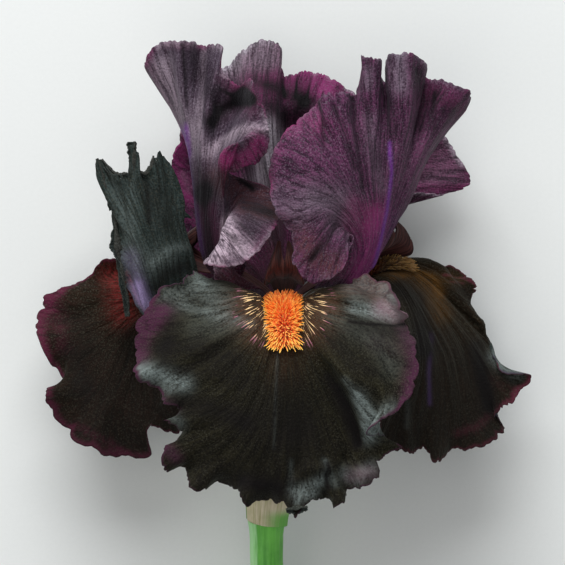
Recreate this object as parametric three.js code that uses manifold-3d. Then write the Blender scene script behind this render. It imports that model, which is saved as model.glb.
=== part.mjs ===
// A bearded iris flower, cut with a short stem and laid on its back on a flat surface.
//
// Millimetres, +Z up. The flower's own axis runs along +Y and rises by TILT, because the bloom is
// deeper than the stem: the stem's cut end and the rear petals lie on the surface at z = 0. The front
// fall, with its beard, faces straight up. All lists of points are measured from the throat, the
// point where the flower's axis passes between the three beards.
import * as THREE from "three";
import { mergeVertices } from "three/addons/utils/BufferGeometryUtils.js";
import Module from "manifold-3d";

const wasm = await Module();
wasm.setup();

// ---- Driving sizes ----
const THROAT = [0, 31.5, 40]; // the throat's place, so that the origin is under the middle of the whole
const FLOOR = -THROAT[2]; // the surface, seen from the throat
const TILT = THREE.MathUtils.degToRad(14); // of the flower's axis to the surface
const PETAL = 0.9; // a petal's thickness
const MARGIN = 0.6; // and at its outer edge
const THIN_FROM = 0.7; // of the way out, where it starts to thin
const FLUTES_FROM = 0.6; // where its flutes start
const TEETH_FROM = 0.8; // and how far in its margin's teeth reach
const COLLAR = 0.7; // of the way from a fall's outermost ring of rib points to its margin
const LIE = 0.4; // of a petal's thickness, its middle's least height over the surface
const GAP = 0.3; // between neighbours that touch
const TUBE_TOP = -8; // along the axis, where the petals leave the perianth tube
const TUBE_R = 6;
const BASE_RING = 4.9; // radius of the ring on which the petals stand
const BASE_HALF = 2.1; // half of a petal's width there
const STEM_R = 5;
const BEARD_DOME = 2; // a beard's height over its edges
const HAIR = 3.8; // the longest
const HAIR_R = 0.42;

// ---- The flower's own frame: t along its axis, phi round it from the front towards +X ----
const UP = new THREE.Vector3(0, Math.cos(TILT), Math.sin(TILT));
const FRONT = new THREE.Vector3(0, -Math.sin(TILT), Math.cos(TILT));
const RIGHT = new THREE.Vector3(1, 0, 0);

const radial = (phi) =>
  FRONT.clone().multiplyScalar(Math.cos(phi)).addScaledVector(RIGHT, Math.sin(phi));
const around = (phi) => radial(phi + Math.PI / 2);
const place = (phi, r, t, side = 0) =>
  UP.clone().multiplyScalar(t).addScaledVector(radial(phi), r).addScaledVector(around(phi), side);

// The six petals and three style arms stand round the axis in turn.
const rad = THREE.MathUtils.degToRad;
const PHI = {
  fall_front: 0,
  fall_right: rad(106),
  fall_left: rad(-110),
  standard_left: rad(-58),
  standard_right: rad(54),
  standard_back: rad(180),
};

// ---- Petals ----
// A petal is a sheet over ribs that fan out from its haft. haft is the middle of the haft and half
// goes from there to its end, where the last rib crosses it. Each rib is listed from the haft to the
// margin, the ribs in turn round the petal. rows is the number of facets along them. waves, height
// and phase flute the margin, and tooth is how far it is cut.
const PETALS = {
  fall_front: {
    colour: 0x24141f,
    rows: 8,
    haft: [0, -1, 15],
    half: [6, 0, 0],
    waves: 17,
    height: 0.9,
    phase: 0.4,
    tooth: 0.9,
    ribs: [
      [[-9, 1, 19], [-15, 4.5, 21], [-21, 7, 21]],
      [[-9, 2, 22], [-18, 5.5, 26], [-28, 9, 27]],
      [[-9, 2, 25], [-20, 3, 32], [-31, 5.5, 32]],
      [[-9, 1, 28], [-22, -1, 34], [-38, 3, 34]],
      [[-9, -1, 31], [-23, -5, 37], [-43.5, -6, 34]],
      [[-9, -3, 34], [-24, -10, 42], [-45, -15, 36]],
      [[-8.5, -5, 36], [-24, -14, 45], [-45, -23, 44]],
      [[-8, -7, 38], [-22.5, -18, 44], [-38.5, -27, 39]],
      [[-7, -9, 39], [-20.5, -22, 45.5], [-36.5, -31, 45]],
      [[-6.5, -10, 40], [-19, -25, 45], [-31.5, -33, 40]],
      [[-6, -10.5, 40.5], [-17.5, -27.5, 46], [-36, -36, 44]],
      [[-5, -11, 41], [-16, -30, 45.5], [-30.5, -39.5, 38]],
      [[-4.5, -11.5, 41.5], [-14.5, -33, 46], [-36, -43.5, 42]],
      [[-4, -12, 42], [-13.5, -35.5, 46], [-36, -51, 41]],
      [[-3.5, -12.5, 42], [-12, -37, 45.5], [-31, -50.5, 37]],
      [[-3, -13, 42], [-10, -38, 46], [-27.5, -56.5, 41]],
      [[-2, -13.3, 42.3], [-8, -38.7, 46], [-20, -55, 37]],
      [[-1.5, -13.5, 42.5], [-6, -39, 46.5], [-14.5, -57.5, 40]],
      [[-0.7, -13.8, 42.8], [-3.5, -39.7, 46.5], [-12, -62, 42]],
      [[0, -14, 43], [-1, -40, 46], [-5, -60.5, 38]],
      [[0.8, -13.8, 42.8], [1.5, -40, 45.5], [0, -61.5, 41]],
      [[1.5, -13.5, 42.5], [4, -40, 44.5], [3.5, -65, 47]],
      [[2.2, -13.3, 42.3], [6, -39, 43.5], [8, -60, 42]],
      [[3, -13, 42], [8, -38, 44], [13, -59.5, 37]],
      [[3.5, -12.5, 42], [10, -37, 43], [15.5, -62.5, 42]],
      [[4, -12, 42], [12, -36, 42.5], [18.5, -58, 37]],
      [[4.5, -11.5, 41.5], [14, -35, 42], [23, -57, 43]],
      [[5, -11, 41], [16, -34, 41], [28, -53, 37]],
      [[5.5, -10.5, 40.5], [17.5, -33, 41.5], [31, -47, 41]],
      [[6, -10, 40], [19, -32, 42.5], [35, -44, 36]],
      [[7, -9, 40], [19.5, -29, 46], [30, -41, 41]],
      [[7.5, -8, 39], [19, -24, 49], [24.5, -39.7, 52]],
      [[8, -6, 37], [24, -18, 45], [32.5, -34.5, 47]],
      [[8.5, -4, 35], [25, -12, 42], [40, -25, 41]],
      [[9, -2, 32], [25, -6, 39], [40, -14, 34]],
      [[9, 0, 30], [24, -3, 35], [37.5, -7, 30]],
      [[9, 1, 27], [22, 1, 35], [36.5, -2, 37]],
      [[9, 2, 24], [20, 3.5, 30], [31, 5.5, 31]],
      [[9, 2, 21], [17, 4.5, 25], [24, 8.5, 27]],
      [[8.5, 1, 18], [14, 3, 20], [18, 5, 21]],
    ],
  },
  fall_right: {
    colour: 0x2a1424,
    rows: 8,
    haft: [15, 1, -4],
    half: [-1.4, 0, -5.6],
    waves: 11,
    height: 0.9,
    phase: 1.1,
    tooth: 0.8,
    ribs: [
      [[20, 3, 2], [23, 2, 6], [24, 0, 10]],
      [[22, 4, 2], [26, -3, 9], [26, -11, 13]],
      [[24, 5, 2], [30, -7, 9], [27, -23, 13]],
      [[26, 5.5, 1], [34, -10, 8], [27, -35, 12]],
      [[28, 6, 0], [37.5, -12, 6], [29, -43, 9]],
      [[30, 6.5, -1], [40, -13.5, 4], [37, -46.5, 3]],
      [[31, 7, -2], [42.5, -14, 2], [41.5, -45, -1]],
      [[32, 7, -3], [44.5, -14, 0], [45, -49, 1]],
      [[33, 7.5, -5], [47, -14, -3], [50, -46, -6]],
      [[34, 8, -7], [50, -13, -6], [59, -45, -7]],
      [[34.5, 8, -8], [52, -11.5, -9], [66.5, -39, -14]],
      [[35, 8.5, -9], [53, -10, -10], [63, -35.5, -11]],
      [[35, 9, -9.5], [54, -8.5, -12], [69, -31, -12]],
      [[35.5, 9, -10], [56, -8, -14], [74.5, -23.5, -14]],
      [[35.5, 9.5, -10.5], [58, -10, -17], [66, -21.5, -9]],
      [[35.5, 9.5, -11], [57, -8, -19], [62, -14, -18]],
      [[35.5, 10, -11.5], [53, -1, -18], [56, -4, -24]],
      [[35.5, 10.5, -11.5], [51, 3, -17.5], [57, 1, -22]],
      [[35, 11, -12], [49.5, 7, -18], [58.5, 4.5, -23]],
      [[34, 11.5, -12.5], [46.5, 11, -18], [54.5, 8.5, -25]],
      [[32, 11, -13], [42, 12, -21], [47, 11, -30]],
      [[29, 8, -13], [37, 6, -26], [43, 3, -38]],
      [[26, 6, -12], [33, 0, -28], [38, -8, -42]],
      [[22, 4, -10], [27, -1, -22], [31, -9, -36]],
    ],
  },
  fall_left: {
    colour: 0x1c2026,
    rows: 8,
    haft: [-15, 0, -5.5],
    half: [1.5, 0, 4.6],
    waves: 15,
    height: 0.9,
    phase: 2.3,
    tooth: 0.8,
    ribs: [
      [[-24, 3, -16], [-27, 6, -24], [-28, 8, -29]],
      [[-28, 4, -18.5], [-34, 8, -24], [-37, 11.5, -28]],
      [[-32, 4.5, -19.5], [-41, 9, -20], [-46, 14.5, -20]],
      [[-35, 4, -19], [-46, 6, -16], [-53, 12.5, -15]],
      [[-37, 3, -18.5], [-49.5, 3, -15], [-62, 5.5, -19]],
      [[-38.5, 1.5, -18], [-51.5, -1, -14], [-73, 0.5, -17]],
      [[-39.5, 0, -17.5], [-52.5, -5, -13], [-74.5, -11, -14]],
      [[-40, -1.5, -17], [-52.5, -9, -12], [-67.5, -25, -15]],
      [[-40.5, -3, -16.5], [-51.5, -13, -11], [-72.5, -28, -7]],
      [[-41, -4.5, -16], [-50, -17, -10], [-66, -40, -11]],
      [[-41, -6, -15], [-47.5, -21, -10], [-54, -47, -11]],
      [[-40.5, -7.5, -14], [-44, -24, -10.5], [-40, -47, -12]],
      [[-40, -8.5, -12.5], [-40.5, -25, -10], [-40.5, -38, -8]],
      [[-39, -9, -11], [-37, -24, -8], [-32, -41, -10]],
      [[-38, -9, -9], [-35.5, -19, -4], [-31, -27, -2]],
      [[-37.5, -8.5, -7], [-37.5, -13, -1], [-37, -16, 3]],
      [[-37, -8, -5], [-40.5, -7, 2], [-43, -5, 5]],
      [[-36.5, -7.5, -3.5], [-42.5, 0, 5], [-47.5, 4, 5]],
      [[-36, -7, -2.5], [-43.5, 7, 7.5], [-51, 15, 5]],
      [[-35, -6.5, -1.5], [-44, 13, 9], [-52, 28, 5]],
      [[-34, -6.5, -1], [-43.5, 16, 10], [-56.5, 42.5, 4]],
      [[-33, -6, -0.5], [-41.5, 17, 11.5], [-51, 38.5, 9]],
      [[-32.2, -6, -0.2], [-40, 17, 12], [-48, 38, 9]],
      [[-31.5, -6, 0], [-38.5, 17, 12.2], [-45.5, 46.5, 9]],
      [[-30.3, -6, 0.3], [-37, 17, 12], [-43.5, 38.5, 8]],
      [[-29, -6, 0.5], [-35.5, 17, 11.5], [-40.5, 39.5, 7]],
      [[-27, -5.5, 0.8], [-32.5, 17, 9.5], [-37, 45, 3]],
      [[-23, -4.5, 0], [-26, 9, 4], [-27.5, 24, 3]],
    ],
  },
  standard_left: {
    colour: 0x5a3350,
    rows: 8,
    haft: [-10, 3, 4.5],
    half: [3.4, 0, 3.2],
    waves: 9,
    height: 0.7,
    phase: 0.2,
    tooth: 0.7,
    ribs: [
      [[-11.5, 11, 4], [-13, 12, -7], [-15, 20, -11], [-17, 28, -13]],
      [[-13, 11, 1], [-17, 20, -7], [-21, 33, -12], [-25, 45, -13]],
      [[-17, 11, 1.5], [-21, 28, -5], [-27, 46, -8], [-34, 60, -6]],
      [[-20, 11, 3], [-24.5, 33, -1], [-31, 53, -1], [-41.5, 71, 2]],
      [[-22, 10, 5], [-26.5, 36, 4], [-32, 57, 6], [-38, 77, 8]],
      [[-23, 10, 7], [-27.5, 37, 9], [-30, 58, 11], [-30.5, 78, 13]],
      [[-23, 10.5, 9], [-26, 38, 13], [-27, 58, 11], [-25, 77, 6]],
      [[-22.5, 11, 10.5], [-24.5, 38, 17], [-23, 57, 17], [-18.5, 76, 14]],
      [[-22, 11, 11], [-22.5, 37.5, 18], [-20, 55, 14], [-18, 69, 16]],
      [[-21, 11.5, 11.5], [-21.3, 37, 19], [-17, 54, 14], [-14, 64.5, 18]],
      [[-20, 12, 12], [-20.5, 36, 21], [-13, 54, 24], [-9.5, 66.5, 25]],
      [[-19.5, 12, 12.5], [-19.7, 35, 22], [-10, 52.5, 31], [-6.5, 59, 31]],
      [[-19, 12, 12.7], [-19, 33, 23], [-8.5, 50.5, 34], [-4, 51, 32]],
      [[-18.5, 12, 13], [-18.5, 31.5, 23], [-11, 48.5, 35], [-7, 42, 28]],
      [[-18, 11.8, 13], [-18.3, 30, 23], [-17, 45, 33], [-13, 38, 26]],
      [[-17.5, 11.5, 13], [-18, 28, 22], [-19.5, 41, 29], [-19.5, 37.5, 24]],
      [[-17, 11, 13], [-17, 25, 18], [-12, 33, 18], [-3.5, 33, 21]],
      [[-16, 10, 13], [-15, 21, 18], [-14, 28, 23], [-1, 24, 31]],
      [[-15, 9, 13], [-15, 17, 19], [-17, 23, 29], [-6, 15.5, 34]],
      [[-14.5, 7.5, 13], [-16, 13.5, 20], [-19.5, 18, 31], [-14, 10.5, 35]],
      [[-14, 6, 12.5], [-16.5, 10, 20], [-21, 13, 30], [-23, 9.5, 33]],
      [[-13, 4.5, 12], [-15.5, 7.5, 16], [-19, 11, 20], [-22, 13, 22]],
      [[-12, 3, 11], [-14.5, 3, 12.5], [-17.5, 3.5, 13], [-20.5, 4.5, 13.5]],
    ],
  },
  standard_right: {
    colour: 0x563050,
    rows: 8,
    haft: [18, 2.5, 8.5],
    half: [3.6, 0, -1.5],
    waves: 12,
    height: 0.7,
    phase: 1.7,
    tooth: 0.7,
    ribs: [
      [[15, 4, 11], [13, 4, 12.5], [11, 4, 13], [8.5, 3.5, 13]],
      [[20, 10, 16], [20, 14, 19], [20, 17, 22], [19.5, 19.5, 25]],
      [[20.5, 12, 17], [20, 19, 22], [18.5, 17, 27], [19, 11, 31]],
      [[21, 13, 17], [18, 21, 25], [15, 15, 31], [14, 6, 33]],
      [[21.5, 14, 17], [16, 22, 27], [11, 15, 33], [8, 5, 34]],
      [[22, 15, 17], [15, 24, 29], [8, 17, 34], [3, 10, 33]],
      [[22.5, 15, 17], [14, 26, 31], [7, 22, 35], [1.5, 19, 33]],
      [[23, 16, 17], [13, 28, 32], [5, 27, 36], [-3, 27.5, 33]],
      [[23.5, 16, 17], [14, 31, 33], [4, 34, 37], [-5, 36, 33]],
      [[24, 16.5, 17], [15, 34, 33], [6, 41.5, 37], [-2.6, 46, 33]],
      [[24.5, 17, 17], [17, 37, 32], [8.5, 48.5, 35.5], [3.5, 53.5, 31]],
      [[24.8, 17, 17], [18.5, 38.5, 31], [12, 51.5, 31.5], [9.3, 58.7, 26]],
      [[25.2, 17, 17], [20, 39.5, 30.5], [15, 54, 32.5], [12.3, 62, 31]],
      [[25.6, 17, 16.7], [22, 40, 29], [18, 54.5, 31.5], [17, 62.5, 30]],
      [[26, 17.5, 16], [24, 41, 27], [21.5, 55, 25], [22, 62.5, 21]],
      [[26.4, 17.5, 15.7], [25.5, 41, 26.5], [24.5, 57, 26], [23, 73, 28]],
      [[26.8, 17.5, 15.3], [27, 41, 25], [27, 57, 25], [26.5, 72.5, 26]],
      [[27.2, 17.5, 15], [28.3, 41, 23.5], [29, 57, 21], [29, 71, 19]],
      [[27.6, 18, 14.5], [30, 41, 22], [30.5, 57, 18.5], [30.5, 66, 13]],
      [[28, 18, 14], [32, 40, 21.5], [33, 57, 23.5], [32.5, 74, 25]],
      [[28.5, 18, 13.5], [34, 39, 20], [37, 56, 23], [38, 74, 26]],
      [[29, 18, 13], [35, 38.5, 18], [39, 55, 18], [42, 71.5, 18]],
      [[29.3, 18, 12.5], [36, 37.5, 16], [40.5, 54, 13], [42.5, 67.5, 9]],
      [[29.7, 18, 12], [37, 36, 14.5], [43, 52, 14], [49, 66, 13]],
      [[30.5, 17, 10], [38, 34, 12], [46, 50, 11], [57, 62, 9]],
      [[30, 17, 9], [38, 31, 8], [44, 44, 4], [52, 54, 0]],
      [[28, 17, 7.5], [36, 27, 4], [40, 38, -3], [44, 46, -8]],
      [[26, 16, 7], [33, 26, 3], [36, 33, -4], [38, 38, -9]],
      [[24, 14, 6.5], [29, 24, 2], [31, 27, -3], [32, 30, -6]],
    ],
  },
  standard_back: {
    colour: 0x5a1f44,
    rows: 8,
    haft: [0, 1, -12],
    half: [-4.2, 0, 0],
    waves: 11,
    height: 0.8,
    phase: 0.9,
    tooth: 0.7,
    ribs: [
      [[6, 5, -17], [10, 8, -21], [20, 17, -23], [33, 31, -22]],
      [[7, 7, -18], [14, 13, -24], [28, 24, -26], [41, 32.5, -23]],
      [[7, 9, -19], [17, 18, -28], [33, 28, -28], [49, 32, -24]],
      [[7, 10, -20], [18, 23, -31], [38, 35, -29], [56.5, 35, -22]],
      [[6.5, 11, -20], [17, 27, -33], [36, 41, -27], [51, 46, -22]],
      [[6, 12, -21], [15, 30, -37], [32, 47, -22], [43, 56, -21]],
      [[5, 12, -21], [13, 32, -40], [27, 51, -18], [34, 61, -20]],
      [[4, 12, -21], [10, 33, -40.5], [20, 54, -15], [24, 62, -19]],
      [[3, 12, -21], [7, 34, -39], [14, 56, -14], [17, 65, -18]],
      [[1.5, 12, -21], [4.5, 35, -38], [8, 57, -13], [11.5, 68.3, -16]],
      [[0.8, 12, -21], [2.5, 35, -36], [4, 57.5, -14], [6, 68.8, -18]],
      [[0, 12, -21], [0, 35, -33], [0, 58, -13], [0.6, 68.3, -17]],
      [[-0.7, 12, -21], [-2.3, 35.5, -19], [-3, 57, -8], [-1.8, 76, -20]],
      [[-1.3, 12, -21], [-4.5, 36, -8], [-7, 57, -4], [-5, 79, -20]],
      [[-2, 12, -21], [-7.5, 35.5, -24], [-11, 57.5, -14], [-11, 76, -21]],
      [[-3, 12, -21], [-9.5, 34, -35], [-14.5, 57, -24], [-18, 70.5, -24]],
      [[-4, 12, -21], [-11, 33, -37], [-18, 54, -36], [-24, 66, -28]],
      [[-5, 11, -20], [-13, 29, -34], [-23, 46, -38], [-31, 54, -30]],
      [[-6, 10, -19], [-14, 24, -31], [-25, 36, -35], [-33.5, 43, -28]],
      [[-7, 8, -18], [-15, 16, -26], [-23.5, 21, -29], [-31.5, 26, -27]],
      [[-6, 3, -17], [-13, 4.5, -21], [-21, 5.5, -22.5], [-29.5, 11, -24]],
    ],
  },
};

// ---- The rest ----
// The lines that the ovary and the stem follow, from the petals to the cut end.
const OVARY = [[0, -8.4, -2.1], [-1.2, -26, -6.6], [-3.6, -47, -11.8], [-5.2, -65.6, -16.35]];
const STEM = [[-5.3, -66.1, -16.5], [-5.2, -82, -20.5], [-4.3, -110, -27.8], [-3.6, -140, -35.8]];

// A beard lies along a fall from one share of the way out to another, on a middle line at a share
// of the way round; wide is its half-width at its two ends, as shares of the way round too.
const BEARDS = {
  fall_front: { middle: 0.49, from: 0.23, to: 0.4, wide: [0.3, 0.17], hairs: 56 },
  fall_right: { middle: 0.6, from: 0.29, to: 0.41, wide: [0.15, 0.08], hairs: 30 },
  fall_left: { middle: 0.42, from: 0.24, to: 0.37, wide: [0.25, 0.08], hairs: 26 },
};

// Centripetal Catmull-Rom through four points, between the middle two.
function between(a, b, c, d, f) {
  const t1 = Math.max(Math.sqrt(a.distanceTo(b)), 1e-3);
  const t2 = t1 + Math.max(Math.sqrt(b.distanceTo(c)), 1e-3);
  const t3 = t2 + Math.max(Math.sqrt(c.distanceTo(d)), 1e-3);
  const t = t1 + (t2 - t1) * f;
  const mix = (p, q, from, to) => p.clone().lerp(q, (t - from) / (to - from));
  const ab = mix(a, b, 0, t1);
  const bc = mix(b, c, t1, t2);
  const cd = mix(c, d, t2, t3);
  return mix(mix(ab, bc, 0, t2), mix(bc, cd, t1, t3), t1, t2);
}

// The point a share of the way along a list of points, all its stretches counting alike.
function along(points, share) {
  const last = points.length - 1;
  const i = Math.min(Math.floor(share * last), last - 1);
  const before = points[i - 1] ?? points[i].clone().multiplyScalar(2).sub(points[i + 1]);
  const after = points[i + 2] ?? points[i + 1].clone().multiplyScalar(2).sub(points[i]);
  return between(before, points[i], points[i + 1], after, share * last - i);
}

const smoothstep = (x) => THREE.MathUtils.smoothstep(x, 0, 1);

// A fixed random number from -1 to 1 for each whole number.
function jitter(n) {
  const x = Math.sin(n * 127.1 + 311.7) * 43758.5453;
  return 2 * (x - Math.floor(x)) - 1;
}

const vectors = (points) => points.map((p) => new THREE.Vector3(...p));

// The whole ribs of a petal, each from the perianth tube to the margin. A fall's ribs get a collar:
// one more point near the margin, evened out over their neighbours, so that the margin's scallops
// don't run far in.
function ribsOf(name) {
  const { haft, half, ribs } = PETALS[name];
  const last = ribs.length - 1;
  const evened = (i) => {
    const sum = new THREE.Vector3();
    const near = [-2, -1, 0, 1, 2].map((k) => ribs[Math.min(Math.max(i + k, 0), last)].at(-1));
    for (const p of vectors(near)) sum.add(p);
    return sum.divideScalar(near.length);
  };
  return ribs.map((rib, i) => {
    const side = (2 * i) / last - 1;
    const points = vectors(rib);
    if (name.startsWith("fall")) points.splice(2, 0, points[1].clone().lerp(evened(i), COLLAR));
    return [
      place(PHI[name], BASE_RING, TUBE_TOP, side * BASE_HALF),
      new THREE.Vector3(...haft).addScaledVector(new THREE.Vector3(...half), side),
      ...points,
    ];
  });
}

const RIBS = Object.fromEntries(Object.keys(PETALS).map((name) => [name, ribsOf(name)]));

// The point of a petal's middle surface at the share u of the way round and v of the way out.
const spot = (name, u, v) => along(RIBS[name].map((rib) => along(rib, v)), u);

// The unit normal at each point of a grid, from its neighbours.
function normalsOf(grid) {
  return grid.map((row, c) =>
    row.map((_, r) => {
      const across = grid[Math.min(c + 1, grid.length - 1)][r].clone();
      across.sub(grid[Math.max(c - 1, 0)][r]);
      const out = row[Math.min(r + 1, row.length - 1)].clone().sub(row[Math.max(r - 1, 0)]);
      return across.cross(out).normalize();
    }),
  );
}

// A grid of points f(u, v), with u and v from 0 to 1.
function gridOf(columns, rows, f) {
  const row = (c) => Array.from({ length: rows + 1 }, (_, r) => f(c / columns, r / rows, c));
  return Array.from({ length: columns + 1 }, (_, c) => row(c));
}

// A closed body between two grids of the same size, the first on the side that its normals face.
function bodyBetween(front, back) {
  const columns = front.length - 1;
  const rows = front[0].length - 1;
  const positions = [...front, ...back].flat().flatMap((p) => p.toArray());
  const at = (c, r) => c * (rows + 1) + r;
  const far = at(columns + 1, 0);
  const index = [];
  const quad = (a, b, c, d) => index.push(a, b, c, a, c, d);
  for (let c = 0; c < columns; c++)
    for (let r = 0; r < rows; r++) {
      const [p, q, s, t] = [at(c, r), at(c + 1, r), at(c + 1, r + 1), at(c, r + 1)];
      index.push(p, q, s, p, s, t);
      index.push(far + p, far + s, far + q, far + p, far + t, far + s);
    }
  for (let c = 0; c < columns; c++) {
    quad(at(c, 0), far + at(c, 0), far + at(c + 1, 0), at(c + 1, 0));
    quad(at(c + 1, rows), far + at(c + 1, rows), far + at(c, rows), at(c, rows));
  }
  for (let r = 0; r < rows; r++) {
    quad(at(0, r + 1), far + at(0, r + 1), far + at(0, r), at(0, r));
    quad(at(columns, r), far + at(columns, r), far + at(columns, r + 1), at(columns, r + 1));
  }
  return new THREE.BufferGeometry()
    .setAttribute("position", new THREE.Float32BufferAttribute(positions, 3))
    .setIndex(index);
}

// A closed sheet round a grid, thinner at its margin, and flattened where it lies on the surface.
function sheetOf(grid, thick, thin) {
  for (const row of grid) for (const p of row) p.z = Math.max(p.z, FLOOR + LIE * thick);
  const normals = normalsOf(grid);
  const face = (side) =>
    grid.map((row, c) =>
      row.map((p, r) => {
        const margin = smoothstep((r / (row.length - 1) - THIN_FROM) / (1 - THIN_FROM));
        const depth = thick + (thin - thick) * margin;
        const q = p.clone().addScaledVector(normals[c][r], (side * depth) / 2);
        q.z = Math.max(q.z, FLOOR);
        return q;
      }),
    );
  return bodyBetween(face(1), face(-1));
}

// A petal's middle surface, fluted and cut at its margin.
function petalGrid(name, columns, rows) {
  const { waves, height, phase, tooth } = PETALS[name];
  const grid = gridOf(columns, rows, (u, v, c) => {
    const slope = spot(name, u, 1).distanceTo(spot(name, u, 0.9)) / 0.1;
    const near = smoothstep((v - TEETH_FROM) / (1 - TEETH_FROM));
    const cut = (tooth * (1 + jitter(c)) * near) / 2;
    return spot(name, u, v - cut / slope);
  });
  const normals = normalsOf(grid);
  return grid.map((row, c) =>
    row.map((p, r) => {
      const rise = height * smoothstep((r / rows - FLUTES_FROM) / (1 - FLUTES_FROM));
      const flute = Math.sin(2 * Math.PI * waves * (c / columns) + phase);
      return p.addScaledVector(normals[c][r], rise * flute);
    }),
  );
}

// A closed tube along a curve, its radius given for each share of its length and angle round it.
function sweep(points, steps, sides, radius) {
  const curve = new THREE.CatmullRomCurve3(points);
  const frames = curve.computeFrenetFrames(steps);
  const positions = [];
  const index = [];
  for (let i = 0; i <= steps; i++)
    for (let j = 0; j < sides; j++) {
      const angle = (2 * Math.PI * j) / sides;
      const p = curve.getPointAt(i / steps);
      p.addScaledVector(frames.normals[i], radius(i / steps, angle) * Math.cos(angle));
      p.addScaledVector(frames.binormals[i], radius(i / steps, angle) * Math.sin(angle));
      positions.push(...p);
    }
  positions.push(...points[0], ...points.at(-1));
  const first = (steps + 1) * sides;
  for (let j = 0; j < sides; j++) {
    const next = (j + 1) % sides;
    index.push(first, next, j, first + 1, steps * sides + j, steps * sides + next);
    for (let i = 0; i < steps; i++) {
      const [a, b] = [i * sides + j, i * sides + next];
      index.push(a, b, b + sides, a, b + sides, a + sides);
    }
  }
  return new THREE.BufferGeometry()
    .setAttribute("position", new THREE.Float32BufferAttribute(positions, 3))
    .setIndex(index);
}

// ---- Joining ----
function solidOf(geometry) {
  const bare = new THREE.BufferGeometry()
    .setAttribute("position", geometry.getAttribute("position"))
    .setIndex(geometry.index);
  const merged = mergeVertices(bare, 1e-4);
  const vertProperties = merged.getAttribute("position").array;
  const triVerts = new Uint32Array(merged.index.array);
  return new wasm.Manifold(new wasm.Mesh({ numProp: 3, vertProperties, triVerts }));
}

function joined(geometries) {
  const { vertProperties, triVerts } = geometries
    .map(solidOf)
    .reduce((whole, piece) => whole.add(piece))
    .getMesh();
  return new THREE.BufferGeometry()
    .setAttribute("position", new THREE.Float32BufferAttribute(vertProperties, 3))
    .setIndex([...triVerts]);
}

// ---- The flower ----
const iris = new THREE.Group();
iris.position.set(...THROAT);

function add(name, geometry, color, roughness) {
  const mesh = new THREE.Mesh(geometry, new THREE.MeshStandardMaterial({ color, roughness }));
  mesh.name = name;
  iris.add(mesh);
}

for (const [name, { ribs, rows, colour }] of Object.entries(PETALS))
  add(name, sheetOf(petalGrid(name, 2 * (ribs.length - 1), rows), PETAL, MARGIN), colour, 0.6);

// A beard: a low dome that bristles with hairs, GAP over the fall that it lies on.
const GOLDEN = 0.618034; // spreads the hairs evenly over the dome
function beardOf(name) {
  const { middle, from, to, wide, hairs } = BEARDS[name];
  const step = 0.01;
  const axes = (u, v) => {
    const across = spot(name, u + step, v).sub(spot(name, u - step, v)).normalize();
    const out = spot(name, u, v + step).sub(spot(name, u, v - step)).normalize();
    return { across, out, up: out.clone().cross(across).normalize() };
  };
  const at = (a, b, rise) => {
    const v = from + (to - from) * b;
    const u = middle + a * (wide[0] + (wide[1] - wide[0]) * b);
    return spot(name, u, v).addScaledVector(axes(u, v).up, PETAL / 2 + GAP + rise);
  };
  const dome = (a, b) => (1 - a * a) * Math.sqrt(Math.sin(Math.PI * (0.04 + 0.92 * b)));
  const under = gridOf(6, 9, (a, b) => at(2 * a - 1, b, 0.1));
  const over = gridOf(6, 9, (a, b) => at(2 * a - 1, b, 0.6 + BEARD_DOME * dome(2 * a - 1, b)));
  const cones = Array.from({ length: hairs }, (_, i) => {
    const b = (i + 0.5) / hairs;
    const a = 1.6 * ((i * GOLDEN) % 1) - 0.8;
    const v = from + (to - from) * b;
    const { across, out, up } = axes(middle, v);
    const root = at(a, b, 0.25 + BEARD_DOME * dome(a, b) * 0.35);
    const aim = up.addScaledVector(across, 0.8 * a).addScaledVector(out, 0.9 * b - 0.1);
    const length = HAIR * (0.85 + 0.15 * jitter(i));
    const hair = new THREE.ConeGeometry(HAIR_R, length, 3).translate(0, length / 2, 0);
    const turn = new THREE.Quaternion().setFromUnitVectors(new THREE.Vector3(0, 1, 0), aim.normalize());
    return hair.applyQuaternion(turn).translate(...root);
  });
  return joined([bodyBetween(under, over), ...cones]);
}

for (const name of Object.keys(BEARDS))
  add(name.replace("fall", "beard"), beardOf(name), 0xe8751a, 0.8);

// The style: a column with three arms, each roofing a stamen and ending in a two-lobed crest. Each
// station of an arm is r from the axis and t along it, half as wide as the arm there, and its sides
// droop. An arm's crest turns by its twist about the arm, as far as each station's turn says.
const ARM = [
  { r: 0.7, t: -1, half: 1.4, droop: 0.2, turn: 0 },
  { r: 5, t: 4.5, half: 2.8, droop: 0.8, turn: 0 },
  { r: 11, t: 9.5, half: 4.2, droop: 1.6, turn: 0 },
  { r: 17, t: 12, half: 5.2, droop: 3, turn: 0.4 },
  { r: 20, t: 15, half: 6, droop: 5, turn: 1 },
  { r: 20.5, t: 19, half: 5, droop: 5, turn: 1 },
  { r: 18, t: 23, half: 3, droop: 4, turn: 1 },
];
// Across an arm: a shallow channel between two ridges, and sides that fall away.
const armFall = (side, droop) => {
  const outside = Math.max(0, Math.abs(side) - 0.3) / 0.7;
  const inside = Math.max(0, 1 - Math.abs(side) / 0.3);
  return droop * outside ** 2 + 0.15 * droop * inside;
};
function armOf(phi, { reach, lift, twist, crest }) {
  const grid = gridOf(8, 9, (u, v) => {
    const side = 2 * u - 1;
    const slit = 0.2 * Math.exp(-((side / 0.2) ** 2));
    const line = ARM.map(({ r, t, half, droop, turn }) => {
      const across = around(phi).multiplyScalar(Math.cos(twist * turn));
      across.addScaledVector(radial(phi), Math.sin(twist * turn));
      const width = half * (1 + (crest - 1) * turn);
      return place(phi, r * reach, t * lift - armFall(side, droop)).addScaledVector(across, width * side);
    });
    return along(line, v * (1 - slit));
  });
  return sheetOf(grid, 0.8, 0.6);
}
const column = sweep([place(0, 0, TUBE_TOP), place(0, 0, -4), place(0, 0, 1.5)], 4, 10, (s) => 2 - 0.6 * s);
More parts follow.
